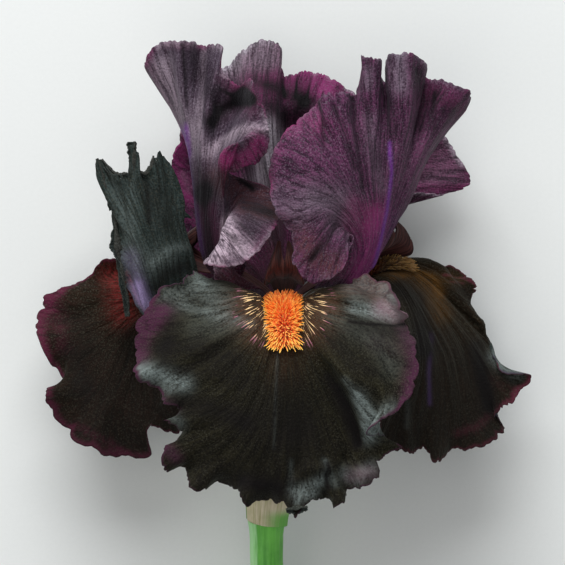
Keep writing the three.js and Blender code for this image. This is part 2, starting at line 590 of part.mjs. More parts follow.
const ARMS = {
  fall_front: { reach: 1, lift: 1, twist: 0, crest: 1 },
  fall_right: { reach: 1.68, lift: 1.06, twist: rad(70), crest: 1.25 },
  fall_left: { reach: 1.5, lift: 0.9, twist: 0, crest: 1 },
};
const arms = Object.entries(ARMS).map(([name, shape]) => armOf(PHI[name], shape));
add("style", joined([column, ...arms]), 0x4a2a38, 0.5);

// A stamen under each arm: a filament that stands on the tube, and its long anther.
for (const side of ["front", "right", "left"]) {
  const phi = PHI[`fall_${side}`];
  const line = [[3.1, TUBE_TOP], [4.6, -2], [7.5, 1.4], [10, 2.8]].map(([r, t]) => place(phi, r, t));
  const filament = sweep(line, 6, 6, () => 0.5);
  const anther = sweep(
    [place(phi, 8.8, 2.3), place(phi, 11.5, 3.6), place(phi, 14.2, 4.6)],
    6,
    6,
    (s) => 0.35 + 0.75 * Math.sqrt(Math.sin(Math.PI * (0.08 + 0.84 * s))),
  );
  add(`stamen_${side}`, joined([filament, anther]), 0xd9cfa8, 0.7);
}

// The ovary and the perianth tube above it, in one: three-ribbed below, round where petals stand.
const ovaryRadius = (s, angle) => {
  const belly = Math.exp(-(((s - 0.72) / 0.22) ** 2));
  const rib = 0.35 * belly * Math.cos(3 * angle);
  return TUBE_R - 2.4 * smoothstep(s / 0.25) + 2 * belly + rib - 0.8 * smoothstep((s - 0.85) / 0.15);
};
add("ovary", sweep(vectors(OVARY), 12, 15, ovaryRadius), 0x5b7a3a, 0.5);

// The stem, thicker at the node where the bracts wrap it, and cut square at its far end.
const stemRadius = (s, angle) => {
  const node = 0.55 * Math.exp(-((s / 0.06) ** 2));
  const taper = 0.55 * s;
  return STEM_R + node - taper + 0.1 * Math.cos(2 * angle);
};
add("stem", sweep(vectors(STEM), 8, 16, stemRadius), 0x5fae55, 0.45);

// Two bracts that wrap the ovary from the stem's node, each narrowing to a point. from and to are
// their ends along the ovary, and slant is how much lower one side of the foot sits.
const OVARY_LENGTH = 60;
function bractOf({ phi, spread, radius, from, to, slant }) {
  const spine = new THREE.CatmullRomCurve3(vectors([...OVARY].reverse()));
  const grid = gridOf(10, 6, (u, v) => {
    const side = 2 * u - 1;
    const angle = phi + rad(spread) * side * (1 - 0.6 * v * v);
    const share = from + slant * side * (1 - v) + (to - from) * v * (1 - 0.3 * v * side * side);
    const r = radius + 1.4 * Math.sin(Math.PI * Math.min(v, 0.5)) - 1.5 * v ** 4;
    const low = Math.min(share, 0);
    const p = spine.getPointAt(share - low).addScaledVector(UP, low * OVARY_LENGTH);
    return p.addScaledVector(radial(angle), r);
  });
  return sheetOf(grid, 0.7, 0.5);
}
const OUTER = { phi: rad(12), spread: 84, radius: 6, from: -0.02, to: 0.62, slant: -0.02 };
const INNER = { phi: rad(192), spread: 84, radius: 6, from: 0, to: 0.7, slant: 0 };
add("spathe_outer", bractOf(OUTER), 0xc9b08a, 0.75);
add("spathe_inner", bractOf(INNER), 0x8fae6a, 0.6);

export default iris;
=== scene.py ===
"""A bearded iris flower lying on its back: the looks, over the solids of the frame.

Lengths in the tables are millimetres from the throat, the point where the flower's axis passes
between the three beards, in the frame's own directions. MM turns them into metres.
"""
import math

import bpy
import numpy as np
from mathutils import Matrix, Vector


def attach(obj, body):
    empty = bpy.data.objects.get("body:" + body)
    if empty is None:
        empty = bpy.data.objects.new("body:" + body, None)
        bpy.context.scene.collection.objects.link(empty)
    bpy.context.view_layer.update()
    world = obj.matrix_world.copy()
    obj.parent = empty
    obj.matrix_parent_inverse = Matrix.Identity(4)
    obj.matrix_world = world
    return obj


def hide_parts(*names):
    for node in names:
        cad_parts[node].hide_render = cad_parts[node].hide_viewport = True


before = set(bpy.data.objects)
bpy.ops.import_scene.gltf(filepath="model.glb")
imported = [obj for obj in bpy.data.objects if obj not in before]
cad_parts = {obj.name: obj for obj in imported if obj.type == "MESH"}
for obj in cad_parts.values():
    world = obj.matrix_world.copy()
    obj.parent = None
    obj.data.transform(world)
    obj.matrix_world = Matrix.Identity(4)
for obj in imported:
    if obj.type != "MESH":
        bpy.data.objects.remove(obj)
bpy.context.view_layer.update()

MM = 0.001

# ---- Driving sizes, as the solids have them ----
THROAT = np.array([0, 31.5, 40])
FLOOR = -THROAT[2]
TILT = math.radians(14)
PETAL = 0.9  # thickness of a petal's solid
SKIN = 0.45  # thickness of the petal that is seen
EDGE = 0.28  # and at its margin
LIE = 0.4  # the least height of a skin's middle over the floor, as a share of PETAL
COLLAR = 0.7  # of the way to a fall's margin from the ring of rib points before it
TUBE_TOP = -8
TUBE_R = 6
BASE_RING = 4.9
BASE_HALF = 2.1
STEM_R = 5
BEARD_DOME = 2
HAIR = 4.2
HAIR_R = 0.24

UP = np.array([0, math.cos(TILT), math.sin(TILT)])
FRONT = np.array([0, -math.sin(TILT), math.cos(TILT)])
RIGHT = np.array([1.0, 0, 0])
PHI = {
    "fall_front": 0,
    "fall_right": math.radians(106),
    "fall_left": math.radians(-110),
    "standard_left": math.radians(-58),
    "standard_right": math.radians(54),
    "standard_back": math.radians(180),
}

# ---- The petals ----
# Where a petal's haft lies, half the haft's width, and the ruffles round its margin: how many, how
# high and their phase. Then its ribs, one after another round it, each from haft to margin.
PETALS = {
    "fall_front": {"haft": [0, -1, 15], "half": [6, 0, 0], "ruffles": [17, 0.9, 0.4]},
    "fall_right": {"haft": [15, 1, -4], "half": [-1.4, 0, -5.6], "ruffles": [11, 0.9, 1.1]},
    "fall_left": {"haft": [-15, 0, -5.5], "half": [1.5, 0, 4.6], "ruffles": [15, 0.9, 2.3]},
    "standard_left": {"haft": [-10, 3, 4.5], "half": [3.4, 0, 3.2], "ruffles": [9, 0.7, 0.2]},
    "standard_right": {"haft": [18, 2.5, 8.5], "half": [3.6, 0, -1.5], "ruffles": [12, 0.7, 1.7]},
    "standard_back": {"haft": [0, 1, -12], "half": [-4.2, 0, 0], "ruffles": [11, 0.8, 0.9]},
}
RIB_POINTS = {}
RIB_POINTS["fall_front"] = [
    [[-9, 1, 19], [-15, 4.5, 21], [-21, 7, 21]],
    [[-9, 2, 22], [-18, 5.5, 26], [-28, 9, 27]],
    [[-9, 2, 25], [-20, 3, 32], [-31, 5.5, 32]],
    [[-9, 1, 28], [-22, -1, 34], [-38, 3, 34]],
    [[-9, -1, 31], [-23, -5, 37], [-43.5, -6, 34]],
    [[-9, -3, 34], [-24, -10, 42], [-45, -15, 36]],
    [[-8.5, -5, 36], [-24, -14, 45], [-45, -23, 44]],
    [[-8, -7, 38], [-22.5, -18, 44], [-38.5, -27, 39]],
    [[-7, -9, 39], [-20.5, -22, 45.5], [-36.5, -31, 45]],
    [[-6.5, -10, 40], [-19, -25, 45], [-31.5, -33, 40]],
    [[-6, -10.5, 40.5], [-17.5, -27.5, 46], [-36, -36, 44]],
    [[-5, -11, 41], [-16, -30, 45.5], [-30.5, -39.5, 38]],
    [[-4.5, -11.5, 41.5], [-14.5, -33, 46], [-36, -43.5, 42]],
    [[-4, -12, 42], [-13.5, -35.5, 46], [-36, -51, 41]],
    [[-3.5, -12.5, 42], [-12, -37, 45.5], [-31, -50.5, 37]],
    [[-3, -13, 42], [-10, -38, 46], [-27.5, -56.5, 41]],
    [[-2, -13.3, 42.3], [-8, -38.7, 46], [-20, -55, 37]],
    [[-1.5, -13.5, 42.5], [-6, -39, 46.5], [-14.5, -57.5, 40]],
    [[-0.7, -13.8, 42.8], [-3.5, -39.7, 46.5], [-12, -62, 42]],
    [[0, -14, 43], [-1, -40, 46], [-5, -60.5, 38]],
    [[0.8, -13.8, 42.8], [1.5, -40, 45.5], [0, -61.5, 41]],
    [[1.5, -13.5, 42.5], [4, -40, 44.5], [3.5, -65, 47]],
    [[2.2, -13.3, 42.3], [6, -39, 43.5], [8, -60, 42]],
    [[3, -13, 42], [8, -38, 44], [13, -59.5, 37]],
    [[3.5, -12.5, 42], [10, -37, 43], [15.5, -62.5, 42]],
    [[4, -12, 42], [12, -36, 42.5], [18.5, -58, 37]],
    [[4.5, -11.5, 41.5], [14, -35, 42], [23, -57, 43]],
    [[5, -11, 41], [16, -34, 41], [28, -53, 37]],
    [[5.5, -10.5, 40.5], [17.5, -33, 41.5], [31, -47, 41]],
    [[6, -10, 40], [19, -32, 42.5], [35, -44, 36]],
    [[7, -9, 40], [19.5, -29, 46], [30, -41, 41]],
    [[7.5, -8, 39], [19, -24, 49], [24.5, -39.7, 52]],
    [[8, -6, 37], [24, -18, 45], [32.5, -34.5, 47]],
    [[8.5, -4, 35], [25, -12, 42], [40, -25, 41]],
    [[9, -2, 32], [25, -6, 39], [40, -14, 34]],
    [[9, 0, 30], [24, -3, 35], [37.5, -7, 30]],
    [[9, 1, 27], [22, 1, 35], [36.5, -2, 37]],
    [[9, 2, 24], [20, 3.5, 30], [31, 5.5, 31]],
    [[9, 2, 21], [17, 4.5, 25], [24, 8.5, 27]],
    [[8.5, 1, 18], [14, 3, 20], [18, 5, 21]],
]
RIB_POINTS["fall_right"] = [
    [[20, 3, 2], [23, 2, 6], [24, 0, 10]],
    [[22, 4, 2], [26, -3, 9], [26, -11, 13]],
    [[24, 5, 2], [30, -7, 9], [27, -23, 13]],
    [[26, 5.5, 1], [34, -10, 8], [27, -35, 12]],
    [[28, 6, 0], [37.5, -12, 6], [29, -43, 9]],
    [[30, 6.5, -1], [40, -13.5, 4], [37, -46.5, 3]],
    [[31, 7, -2], [42.5, -14, 2], [41.5, -45, -1]],
    [[32, 7, -3], [44.5, -14, 0], [45, -49, 1]],
    [[33, 7.5, -5], [47, -14, -3], [50, -46, -6]],
    [[34, 8, -7], [50, -13, -6], [59, -45, -7]],
    [[34.5, 8, -8], [52, -11.5, -9], [66.5, -39, -14]],
    [[35, 8.5, -9], [53, -10, -10], [63, -35.5, -11]],
    [[35, 9, -9.5], [54, -8.5, -12], [69, -31, -12]],
    [[35.5, 9, -10], [56, -8, -14], [74.5, -23.5, -14]],
    [[35.5, 9.5, -10.5], [58, -10, -17], [66, -21.5, -9]],
    [[35.5, 9.5, -11], [57, -8, -19], [62, -14, -18]],
    [[35.5, 10, -11.5], [53, -1, -18], [56, -4, -24]],
    [[35.5, 10.5, -11.5], [51, 3, -17.5], [57, 1, -22]],
    [[35, 11, -12], [49.5, 7, -18], [58.5, 4.5, -23]],
    [[34, 11.5, -12.5], [46.5, 11, -18], [54.5, 8.5, -25]],
    [[32, 11, -13], [42, 12, -21], [47, 11, -30]],
    [[29, 8, -13], [37, 6, -26], [43, 3, -38]],
    [[26, 6, -12], [33, 0, -28], [38, -8, -42]],
    [[22, 4, -10], [27, -1, -22], [31, -9, -36]],
]
RIB_POINTS["fall_left"] = [
    [[-24, 3, -16], [-27, 6, -24], [-28, 8, -29]],
    [[-28, 4, -18.5], [-34, 8, -24], [-37, 11.5, -28]],
    [[-32, 4.5, -19.5], [-41, 9, -20], [-46, 14.5, -20]],
    [[-35, 4, -19], [-46, 6, -16], [-53, 12.5, -15]],
    [[-37, 3, -18.5], [-49.5, 3, -15], [-62, 5.5, -19]],
    [[-38.5, 1.5, -18], [-51.5, -1, -14], [-73, 0.5, -17]],
    [[-39.5, 0, -17.5], [-52.5, -5, -13], [-74.5, -11, -14]],
    [[-40, -1.5, -17], [-52.5, -9, -12], [-67.5, -25, -15]],
    [[-40.5, -3, -16.5], [-51.5, -13, -11], [-72.5, -28, -7]],
    [[-41, -4.5, -16], [-50, -17, -10], [-66, -40, -11]],
    [[-41, -6, -15], [-47.5, -21, -10], [-54, -47, -11]],
    [[-40.5, -7.5, -14], [-44, -24, -10.5], [-40, -47, -12]],
    [[-40, -8.5, -12.5], [-40.5, -25, -10], [-40.5, -38, -8]],
    [[-39, -9, -11], [-37, -24, -8], [-32, -41, -10]],
    [[-38, -9, -9], [-35.5, -19, -4], [-31, -27, -2]],
    [[-37.5, -8.5, -7], [-37.5, -13, -1], [-37, -16, 3]],
    [[-37, -8, -5], [-40.5, -7, 2], [-43, -5, 5]],
    [[-36.5, -7.5, -3.5], [-42.5, 0, 5], [-47.5, 4, 5]],
    [[-36, -7, -2.5], [-43.5, 7, 7.5], [-51, 15, 5]],
    [[-35, -6.5, -1.5], [-44, 13, 9], [-52, 28, 5]],
    [[-34, -6.5, -1], [-43.5, 16, 10], [-56.5, 42.5, 4]],
    [[-33, -6, -0.5], [-41.5, 17, 11.5], [-51, 38.5, 9]],
    [[-32.2, -6, -0.2], [-40, 17, 12], [-48, 38, 9]],
    [[-31.5, -6, 0], [-38.5, 17, 12.2], [-45.5, 46.5, 9]],
    [[-30.3, -6, 0.3], [-37, 17, 12], [-43.5, 38.5, 8]],
    [[-29, -6, 0.5], [-35.5, 17, 11.5], [-40.5, 39.5, 7]],
    [[-27, -5.5, 0.8], [-32.5, 17, 9.5], [-37, 45, 3]],
    [[-23, -4.5, 0], [-26, 9, 4], [-27.5, 24, 3]],
]
RIB_POINTS["standard_left"] = [
    [[-11.5, 11, 4], [-13, 12, -7], [-15, 20, -11], [-17, 28, -13]],
    [[-13, 11, 1], [-17, 20, -7], [-21, 33, -12], [-25, 45, -13]],
    [[-17, 11, 1.5], [-21, 28, -5], [-27, 46, -8], [-34, 60, -6]],
    [[-20, 11, 3], [-24.5, 33, -1], [-31, 53, -1], [-41.5, 71, 2]],
    [[-22, 10, 5], [-26.5, 36, 4], [-32, 57, 6], [-38, 77, 8]],
    [[-23, 10, 7], [-27.5, 37, 9], [-30, 58, 11], [-30.5, 78, 13]],
    [[-23, 10.5, 9], [-26, 38, 13], [-27, 58, 11], [-25, 77, 6]],
    [[-22.5, 11, 10.5], [-24.5, 38, 17], [-23, 57, 17], [-18.5, 76, 14]],
    [[-22, 11, 11], [-22.5, 37.5, 18], [-20, 55, 14], [-18, 69, 16]],
    [[-21, 11.5, 11.5], [-21.3, 37, 19], [-17, 54, 14], [-14, 64.5, 18]],
    [[-20, 12, 12], [-20.5, 36, 21], [-13, 54, 24], [-9.5, 66.5, 25]],
    [[-19.5, 12, 12.5], [-19.7, 35, 22], [-10, 52.5, 31], [-6.5, 59, 31]],
    [[-19, 12, 12.7], [-19, 33, 23], [-8.5, 50.5, 34], [-4, 51, 32]],
    [[-18.5, 12, 13], [-18.5, 31.5, 23], [-11, 48.5, 35], [-7, 42, 28]],
    [[-18, 11.8, 13], [-18.3, 30, 23], [-17, 45, 33], [-13, 38, 26]],
    [[-17.5, 11.5, 13], [-18, 28, 22], [-19.5, 41, 29], [-19.5, 37.5, 24]],
    [[-17, 11, 13], [-17, 25, 18], [-12, 33, 18], [-3.5, 33, 21]],
    [[-16, 10, 13], [-15, 21, 18], [-14, 28, 23], [-1, 24, 31]],
    [[-15, 9, 13], [-15, 17, 19], [-17, 23, 29], [-6, 15.5, 34]],
    [[-14.5, 7.5, 13], [-16, 13.5, 20], [-19.5, 18, 31], [-14, 10.5, 35]],
    [[-14, 6, 12.5], [-16.5, 10, 20], [-21, 13, 30], [-23, 9.5, 33]],
    [[-13, 4.5, 12], [-15.5, 7.5, 16], [-19, 11, 20], [-22, 13, 22]],
    [[-12, 3, 11], [-14.5, 3, 12.5], [-17.5, 3.5, 13], [-20.5, 4.5, 13.5]],
]
RIB_POINTS["standard_right"] = [
    [[15, 4, 11], [13, 4, 12.5], [11, 4, 13], [8.5, 3.5, 13]],
    [[20, 10, 16], [20, 14, 19], [20, 17, 22], [19.5, 19.5, 25]],
    [[20.5, 12, 17], [20, 19, 22], [18.5, 17, 27], [19, 11, 31]],
    [[21, 13, 17], [18, 21, 25], [15, 15, 31], [14, 6, 33]],
    [[21.5, 14, 17], [16, 22, 27], [11, 15, 33], [8, 5, 34]],
    [[22, 15, 17], [15, 24, 29], [8, 17, 34], [3, 10, 33]],
    [[22.5, 15, 17], [14, 26, 31], [7, 22, 35], [1.5, 19, 33]],
    [[23, 16, 17], [13, 28, 32], [5, 27, 36], [-3, 27.5, 33]],
    [[23.5, 16, 17], [14, 31, 33], [4, 34, 37], [-5, 36, 33]],
    [[24, 16.5, 17], [15, 34, 33], [6, 41.5, 37], [-2.6, 46, 33]],
    [[24.5, 17, 17], [17, 37, 32], [8.5, 48.5, 35.5], [3.5, 53.5, 31]],
    [[24.8, 17, 17], [18.5, 38.5, 31], [12, 51.5, 31.5], [9.3, 58.7, 26]],
    [[25.2, 17, 17], [20, 39.5, 30.5], [15, 54, 32.5], [12.3, 62, 31]],
    [[25.6, 17, 16.7], [22, 40, 29], [18, 54.5, 31.5], [17, 62.5, 30]],
    [[26, 17.5, 16], [24, 41, 27], [21.5, 55, 25], [22, 62.5, 21]],
    [[26.4, 17.5, 15.7], [25.5, 41, 26.5], [24.5, 57, 26], [23, 73, 28]],
    [[26.8, 17.5, 15.3], [27, 41, 25], [27, 57, 25], [26.5, 72.5, 26]],
    [[27.2, 17.5, 15], [28.3, 41, 23.5], [29, 57, 21], [29, 71, 19]],
    [[27.6, 18, 14.5], [30, 41, 22], [30.5, 57, 18.5], [30.5, 66, 13]],
    [[28, 18, 14], [32, 40, 21.5], [33, 57, 23.5], [32.5, 74, 25]],
    [[28.5, 18, 13.5], [34, 39, 20], [37, 56, 23], [38, 74, 26]],
    [[29, 18, 13], [35, 38.5, 18], [39, 55, 18], [42, 71.5, 18]],
    [[29.3, 18, 12.5], [36, 37.5, 16], [40.5, 54, 13], [42.5, 67.5, 9]],
    [[29.7, 18, 12], [37, 36, 14.5], [43, 52, 14], [49, 66, 13]],
    [[30.5, 17, 10], [38, 34, 12], [46, 50, 11], [57, 62, 9]],
    [[30, 17, 9], [38, 31, 8], [44, 44, 4], [52, 54, 0]],
    [[28, 17, 7.5], [36, 27, 4], [40, 38, -3], [44, 46, -8]],
    [[26, 16, 7], [33, 26, 3], [36, 33, -4], [38, 38, -9]],
    [[24, 14, 6.5], [29, 24, 2], [31, 27, -3], [32, 30, -6]],
]
RIB_POINTS["standard_back"] = [
    [[6, 5, -17], [10, 8, -21], [20, 17, -23], [33, 31, -22]],
    [[7, 7, -18], [14, 13, -24], [28, 24, -26], [41, 32.5, -23]],
    [[7, 9, -19], [17, 18, -28], [33, 28, -28], [49, 32, -24]],
    [[7, 10, -20], [18, 23, -31], [38, 35, -29], [56.5, 35, -22]],
    [[6.5, 11, -20], [17, 27, -33], [36, 41, -27], [51, 46, -22]],
    [[6, 12, -21], [15, 30, -37], [32, 47, -22], [43, 56, -21]],
    [[5, 12, -21], [13, 32, -40], [27, 51, -18], [34, 61, -20]],
    [[4, 12, -21], [10, 33, -40.5], [20, 54, -15], [24, 62, -19]],
    [[3, 12, -21], [7, 34, -39], [14, 56, -14], [17, 65, -18]],
    [[1.5, 12, -21], [4.5, 35, -38], [8, 57, -13], [11.5, 68.3, -16]],
    [[0.8, 12, -21], [2.5, 35, -36], [4, 57.5, -14], [6, 68.8, -18]],
    [[0, 12, -21], [0, 35, -33], [0, 58, -13], [0.6, 68.3, -17]],
    [[-0.7, 12, -21], [-2.3, 35.5, -19], [-3, 57, -8], [-1.8, 76, -20]],
    [[-1.3, 12, -21], [-4.5, 36, -8], [-7, 57, -4], [-5, 79, -20]],
    [[-2, 12, -21], [-7.5, 35.5, -24], [-11, 57.5, -14], [-11, 76, -21]],
    [[-3, 12, -21], [-9.5, 34, -35], [-14.5, 57, -24], [-18, 70.5, -24]],
    [[-4, 12, -21], [-11, 33, -37], [-18, 54, -36], [-24, 66, -28]],
    [[-5, 11, -20], [-13, 29, -34], [-23, 46, -38], [-31, 54, -30]],
    [[-6, 10, -19], [-14, 24, -31], [-25, 36, -35], [-33.5, 43, -28]],
    [[-7, 8, -18], [-15, 16, -26], [-23.5, 21, -29], [-31.5, 26, -27]],
    [[-6, 3, -17], [-13, 4.5, -21], [-21, 5.5, -22.5], [-29.5, 11, -24]],
]

# The lines that the ovary and the stem follow.
OVARY = [[0, -8.4, -2.1], [-1.2, -26, -6.6], [-3.6, -47, -11.8], [-5.2, -65.6, -16.35]]
STEM = [[-5.3, -66.1, -16.5], [-5.2, -82, -20.5], [-4.3, -110, -27.8], [-3.6, -140, -35.8]]
OVARY_LENGTH = 60
# Where a beard lies on its fall: round it and out along it, half its width at each end, and how
# long its hairs are.
BEARDS = {
    "fall_front": {"middle": 0.49, "from": 0.23, "to": 0.4, "wide": [0.3, 0.17], "long": 1.0},
    "fall_right": {"middle": 0.6, "from": 0.29, "to": 0.41, "wide": [0.15, 0.08], "long": 0.75},
    "fall_left": {"middle": 0.42, "from": 0.24, "to": 0.37, "wide": [0.25, 0.08], "long": 0.75},
}
# The style's arms: stations by their distance from the axis, height, half-width, droop and turn.
ARM = [
    (0.7, -1, 1.4, 0.2, 0),
    (5, 4.5, 2.8, 0.8, 0),
    (11, 9.5, 4.2, 1.6, 0),
    (17, 12, 5.2, 3, 0.4),
    (20, 15, 6, 5, 1),
    (20.5, 19, 5, 5, 1),
    (18, 23, 3, 4, 1),
]
ARMS = {
    "fall_front": {"reach": 1, "lift": 1, "twist": 0, "crest": 1},
    "fall_right": {"reach": 1.68, "lift": 1.06, "twist": math.radians(70), "crest": 1.25},
    "fall_left": {"reach": 1.5, "lift": 0.9, "twist": 0, "crest": 1},
}
# The bracts, by where round the ovary and how far along it they lie.
OUTER = {"phi": math.radians(12), "spread": 84, "radius": 6, "from": -0.02, "to": 0.62, "slant": -0.02}
INNER = {"phi": math.radians(192), "spread": 84, "radius": 6, "from": 0, "to": 0.7, "slant": 0}


# ---- Surfaces ----
def radial(phi):
    return FRONT * math.cos(phi) + RIGHT * math.sin(phi)


def around(phi):
    return radial(phi + math.pi / 2)


def place(phi, r, t, side=0):
    """The point t up the axis, r out from it at the angle phi, and side round from there."""
    return UP * t + radial(phi) * r + around(phi) * side


def unit(vectors):
    return vectors / np.linalg.norm(vectors, axis=-1, keepdims=True)


def smooth(x):
    x = np.clip(x, 0, 1)
    return x * x * (3 - 2 * x)


def bell(x, middle, width):
    return np.exp(-(((x - middle) / width) ** 2))


def blunt(x):
    """A profile with rounded ends, not quite closed."""
    return np.sqrt(np.sin(math.pi * (0.04 + 0.92 * x)))


def catmull(a, b, c, d, f):
    """Centripetal Catmull-Rom between b and c."""

    def gap(p, q):
        return np.maximum(np.sqrt(np.linalg.norm(q - p, axis=-1, keepdims=True)), 1e-3)

    t1 = gap(a, b)
    t2 = t1 + gap(b, c)
    t3 = t2 + gap(c, d)
    t = t1 + (t2 - t1) * f[..., None]

    def mix(p, q, start, end):
        return p + (q - p) * (t - start) / (end - start)

    ab, bc, cd = mix(a, b, 0, t1), mix(b, c, t1, t2), mix(c, d, t2, t3)
    return mix(mix(ab, bc, 0, t2), mix(bc, cd, t1, t3), t1, t2)


def between(fetch, last, share):
    """The point at each share of a list whose items fetch(index) gives."""
    i = np.clip(np.floor(share * last).astype(int), 0, last - 1)
    b, c = fetch(i), fetch(i + 1)
    a = np.where((i > 0)[..., None], fetch(np.maximum(i - 1, 0)), 2 * b - c)
    d = np.where((i + 2 <= last)[..., None], fetch(np.minimum(i + 2, last)), 2 * c - b)
    return catmull(a, b, c, d, share * last - i)


def ribs_of(name):
    """A petal's ribs from the tube to the margin, with a collar near a fall's margin."""
    petal = PETALS[name]
    last = len(RIB_POINTS[name]) - 1
    margins = np.array([rib[-1] for rib in RIB_POINTS[name]], float)
    ribs = []
    for i, rib in enumerate(RIB_POINTS[name]):
        side = 2 * i / last - 1
        foot = place(PHI[name], BASE_RING, TUBE_TOP, side * BASE_HALF)
        haft = np.array(petal["haft"]) + np.array(petal["half"]) * side
        points = [np.array(p, float) for p in rib]
        if name.startswith("fall"):
            evened = margins[np.clip(np.arange(i - 2, i + 3), 0, last)].mean(axis=0)
            points.insert(2, points[1] + (evened - points[1]) * COLLAR)
        ribs.append([foot, haft, *points])
    return np.array(ribs)


RIBS = {name: ribs_of(name) for name in PETALS}


def spot(name, u, v):
    """Points of a petal's middle surface, u of the way round and v of the way out."""
    ribs = RIBS[name]
    rings = ribs.shape[1] - 1

    def on_rib(k):
        return between(lambda i: ribs[k, i], rings, v)

    return between(on_rib, ribs.shape[0] - 1, u)


def normals_of(grid):
    across = np.empty_like(grid)
    across[1:-1] = grid[2:] - grid[:-2]
    across[0], across[-1] = grid[1] - grid[0], grid[-1] - grid[-2]
    out = np.empty_like(grid)
    out[:, 1:-1] = grid[:, 2:] - grid[:, :-2]
    out[:, 0], out[:, -1] = grid[:, 1] - grid[:, 0], grid[:, -1] - grid[:, -2]
    n = np.cross(across, out)
    return n / np.maximum(np.linalg.norm(n, axis=-1, keepdims=True), 1e-9)


def hashed(i, j, seed):
    """A number from -1 to 1 that looks random, the same for the same i, j and seed."""
    x = np.sin(i * 127.1 + j * 311.7 + seed * 74.7) * 43758.5453
    return 2 * (x - np.floor(x)) - 1


def noise(x, y, seed):
    """Smooth noise from -1 to 1."""
    i, j = np.floor(x), np.floor(y)
    fx, fy = smooth(x - i), smooth(y - j)
    near = hashed(i, j, seed) * (1 - fx) + hashed(i + 1, j, seed) * fx
    far = hashed(i, j + 1, seed) * (1 - fx) + hashed(i + 1, j + 1, seed) * fx
    return near * (1 - fy) + far * fy


def axes_grid(columns, rows):
    """u and v from 0 to 1 over a grid of so many faces each way."""
    return np.meshgrid(np.linspace(0, 1, columns + 1), np.linspace(0, 1, rows + 1), indexing="ij")


# ---- Meshes ----
def metres(points):
    return (points + THROAT) * MM


def new_object(name, points, faces, replaced):
    mesh = bpy.data.meshes.new(name)
    mesh.from_pydata(metres(points), [], faces)
    mesh.polygons.foreach_set("use_smooth", np.ones(len(mesh.polygons), bool))
    mesh.update()
    piece = bpy.data.objects.new(name, mesh)
    bpy.context.scene.collection.objects.link(piece)
    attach(piece, "root")
    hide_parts(replaced)
    return piece


def write_uv(mesh, coords):
    """coords gives each vertex its place on the petal."""
    index = np.empty(len(mesh.loops), int)
    mesh.loops.foreach_get("vertex_index", index)
    layer = mesh.uv_layers.new(name="petal")
    layer.data.foreach_set("uv", coords[index].astype(np.float32).ravel())


def write_ink(mesh, ink, name="ink"):
    """Four numbers at each vertex, which the material reads as masks."""
    layer = mesh.color_attributes.new(name, "FLOAT_COLOR", "POINT")
    layer.data.foreach_set("color", ink.astype(np.float32).ravel())


def grid_faces(columns, rows):
    """The faces of a closed sheet: its two sides and its rim."""
    c, r = np.meshgrid(np.arange(columns), np.arange(rows), indexing="ij")
    near = (c * (rows + 1) + r).ravel()
    p, q, s, t = near, near + rows + 1, near + rows + 2, near + 1
    far = (columns + 1) * (rows + 1)
    sides = np.concatenate([np.stack([p, q, s, t], 1), np.stack([far + p, far + t, far + s, far + q], 1)])

    def rim(a, b):
        return np.stack([a, far + a, far + b, b], 1)

    c, r = np.arange(columns), np.arange(rows)
    step = rows + 1
    rims = [
        rim(c * step, (c + 1) * step),
        rim((c + 1) * step + rows, c * step + rows),
        rim(r + 1, r),
        rim(columns * step + r, columns * step + r + 1),
    ]
    return np.concatenate([sides, *rims]).tolist()


def shifted(faces, shift):
    return [tuple(i + shift for i in face) for face in faces]


def two_sides(grid, half):
    """The points of both sides of a sheet, each half its thickness off the grid."""
    off = (normals_of(grid) * half).reshape(-1, 3)
    middle = grid.reshape(-1, 3)
    return np.concatenate([middle + off, middle - off])


def sheet_coords(columns, rows):
    """The u and v of the same points."""
    u, v = axes_grid(columns, rows)
    one = np.stack([u.ravel(), v.ravel()], 1)
    return np.concatenate([one, one])


def sheet(name, grid, depth, replaced, ink):
    """A closed sheet round a grid. depth is its thickness at each point of the grid."""
    columns, rows = grid.shape[0] - 1, grid.shape[1] - 1
    grid = grid.copy()
    grid[..., 2] = np.maximum(grid[..., 2], FLOOR + LIE * PETAL)
    points = two_sides(grid, (depth / 2)[..., None])
    points[:, 2] = np.maximum(points[:, 2], FLOOR)
    piece = new_object(name, points, grid_faces(columns, rows), replaced)
    write_uv(piece.data, sheet_coords(columns, rows))
    both = np.concatenate([ink.reshape(-1, 3)] * 2)
    outer = np.repeat([1.0, 0.0], len(both) // 2)
    write_ink(piece.data, np.column_stack([both, outer]))
    return piece


def sweep(name, line, steps, sides, radius, replaced):
    """A closed tube along a line of points, radius(share, angle) wide."""
    line = np.array(line, float)
    share = np.linspace(0, 1, steps + 1)
    centre = between(lambda i: line[i], len(line) - 1, share)
    along = unit(np.gradient(centre, axis=0))
    side = unit(np.cross(along, [0.31, 0.2, 0.93]))  # any direction that no line takes
    other = np.cross(along, side)
    angle = np.linspace(0, 2 * math.pi, sides, endpoint=False)
    s, a = np.meshgrid(share, angle, indexing="ij")
    r = radius(s, a)[..., None]
    rings = centre[:, None] + side[:, None] * np.cos(a)[..., None] * r
    rings = rings + other[:, None] * np.sin(a)[..., None] * r
    points = np.concatenate([rings.reshape(-1, 3), centre[:1], centre[-1:]])
    faces = []
    first = (steps + 1) * sides
    for j in range(sides):
        k = (j + 1) % sides
        faces.append((first, k, j))
        faces.append((first + 1, steps * sides + j, steps * sides + k))
        for i in range(steps):
            faces.append((i * sides + j, i * sides + k, (i + 1) * sides + k, (i + 1) * sides + j))
    piece = new_object(name, points, faces, replaced)
    coords = np.stack([(a / (2 * math.pi)).ravel(), s.ravel()], 1)
    write_uv(piece.data, np.concatenate([coords, [[0, 0], [0, 1]]]))
    return piece


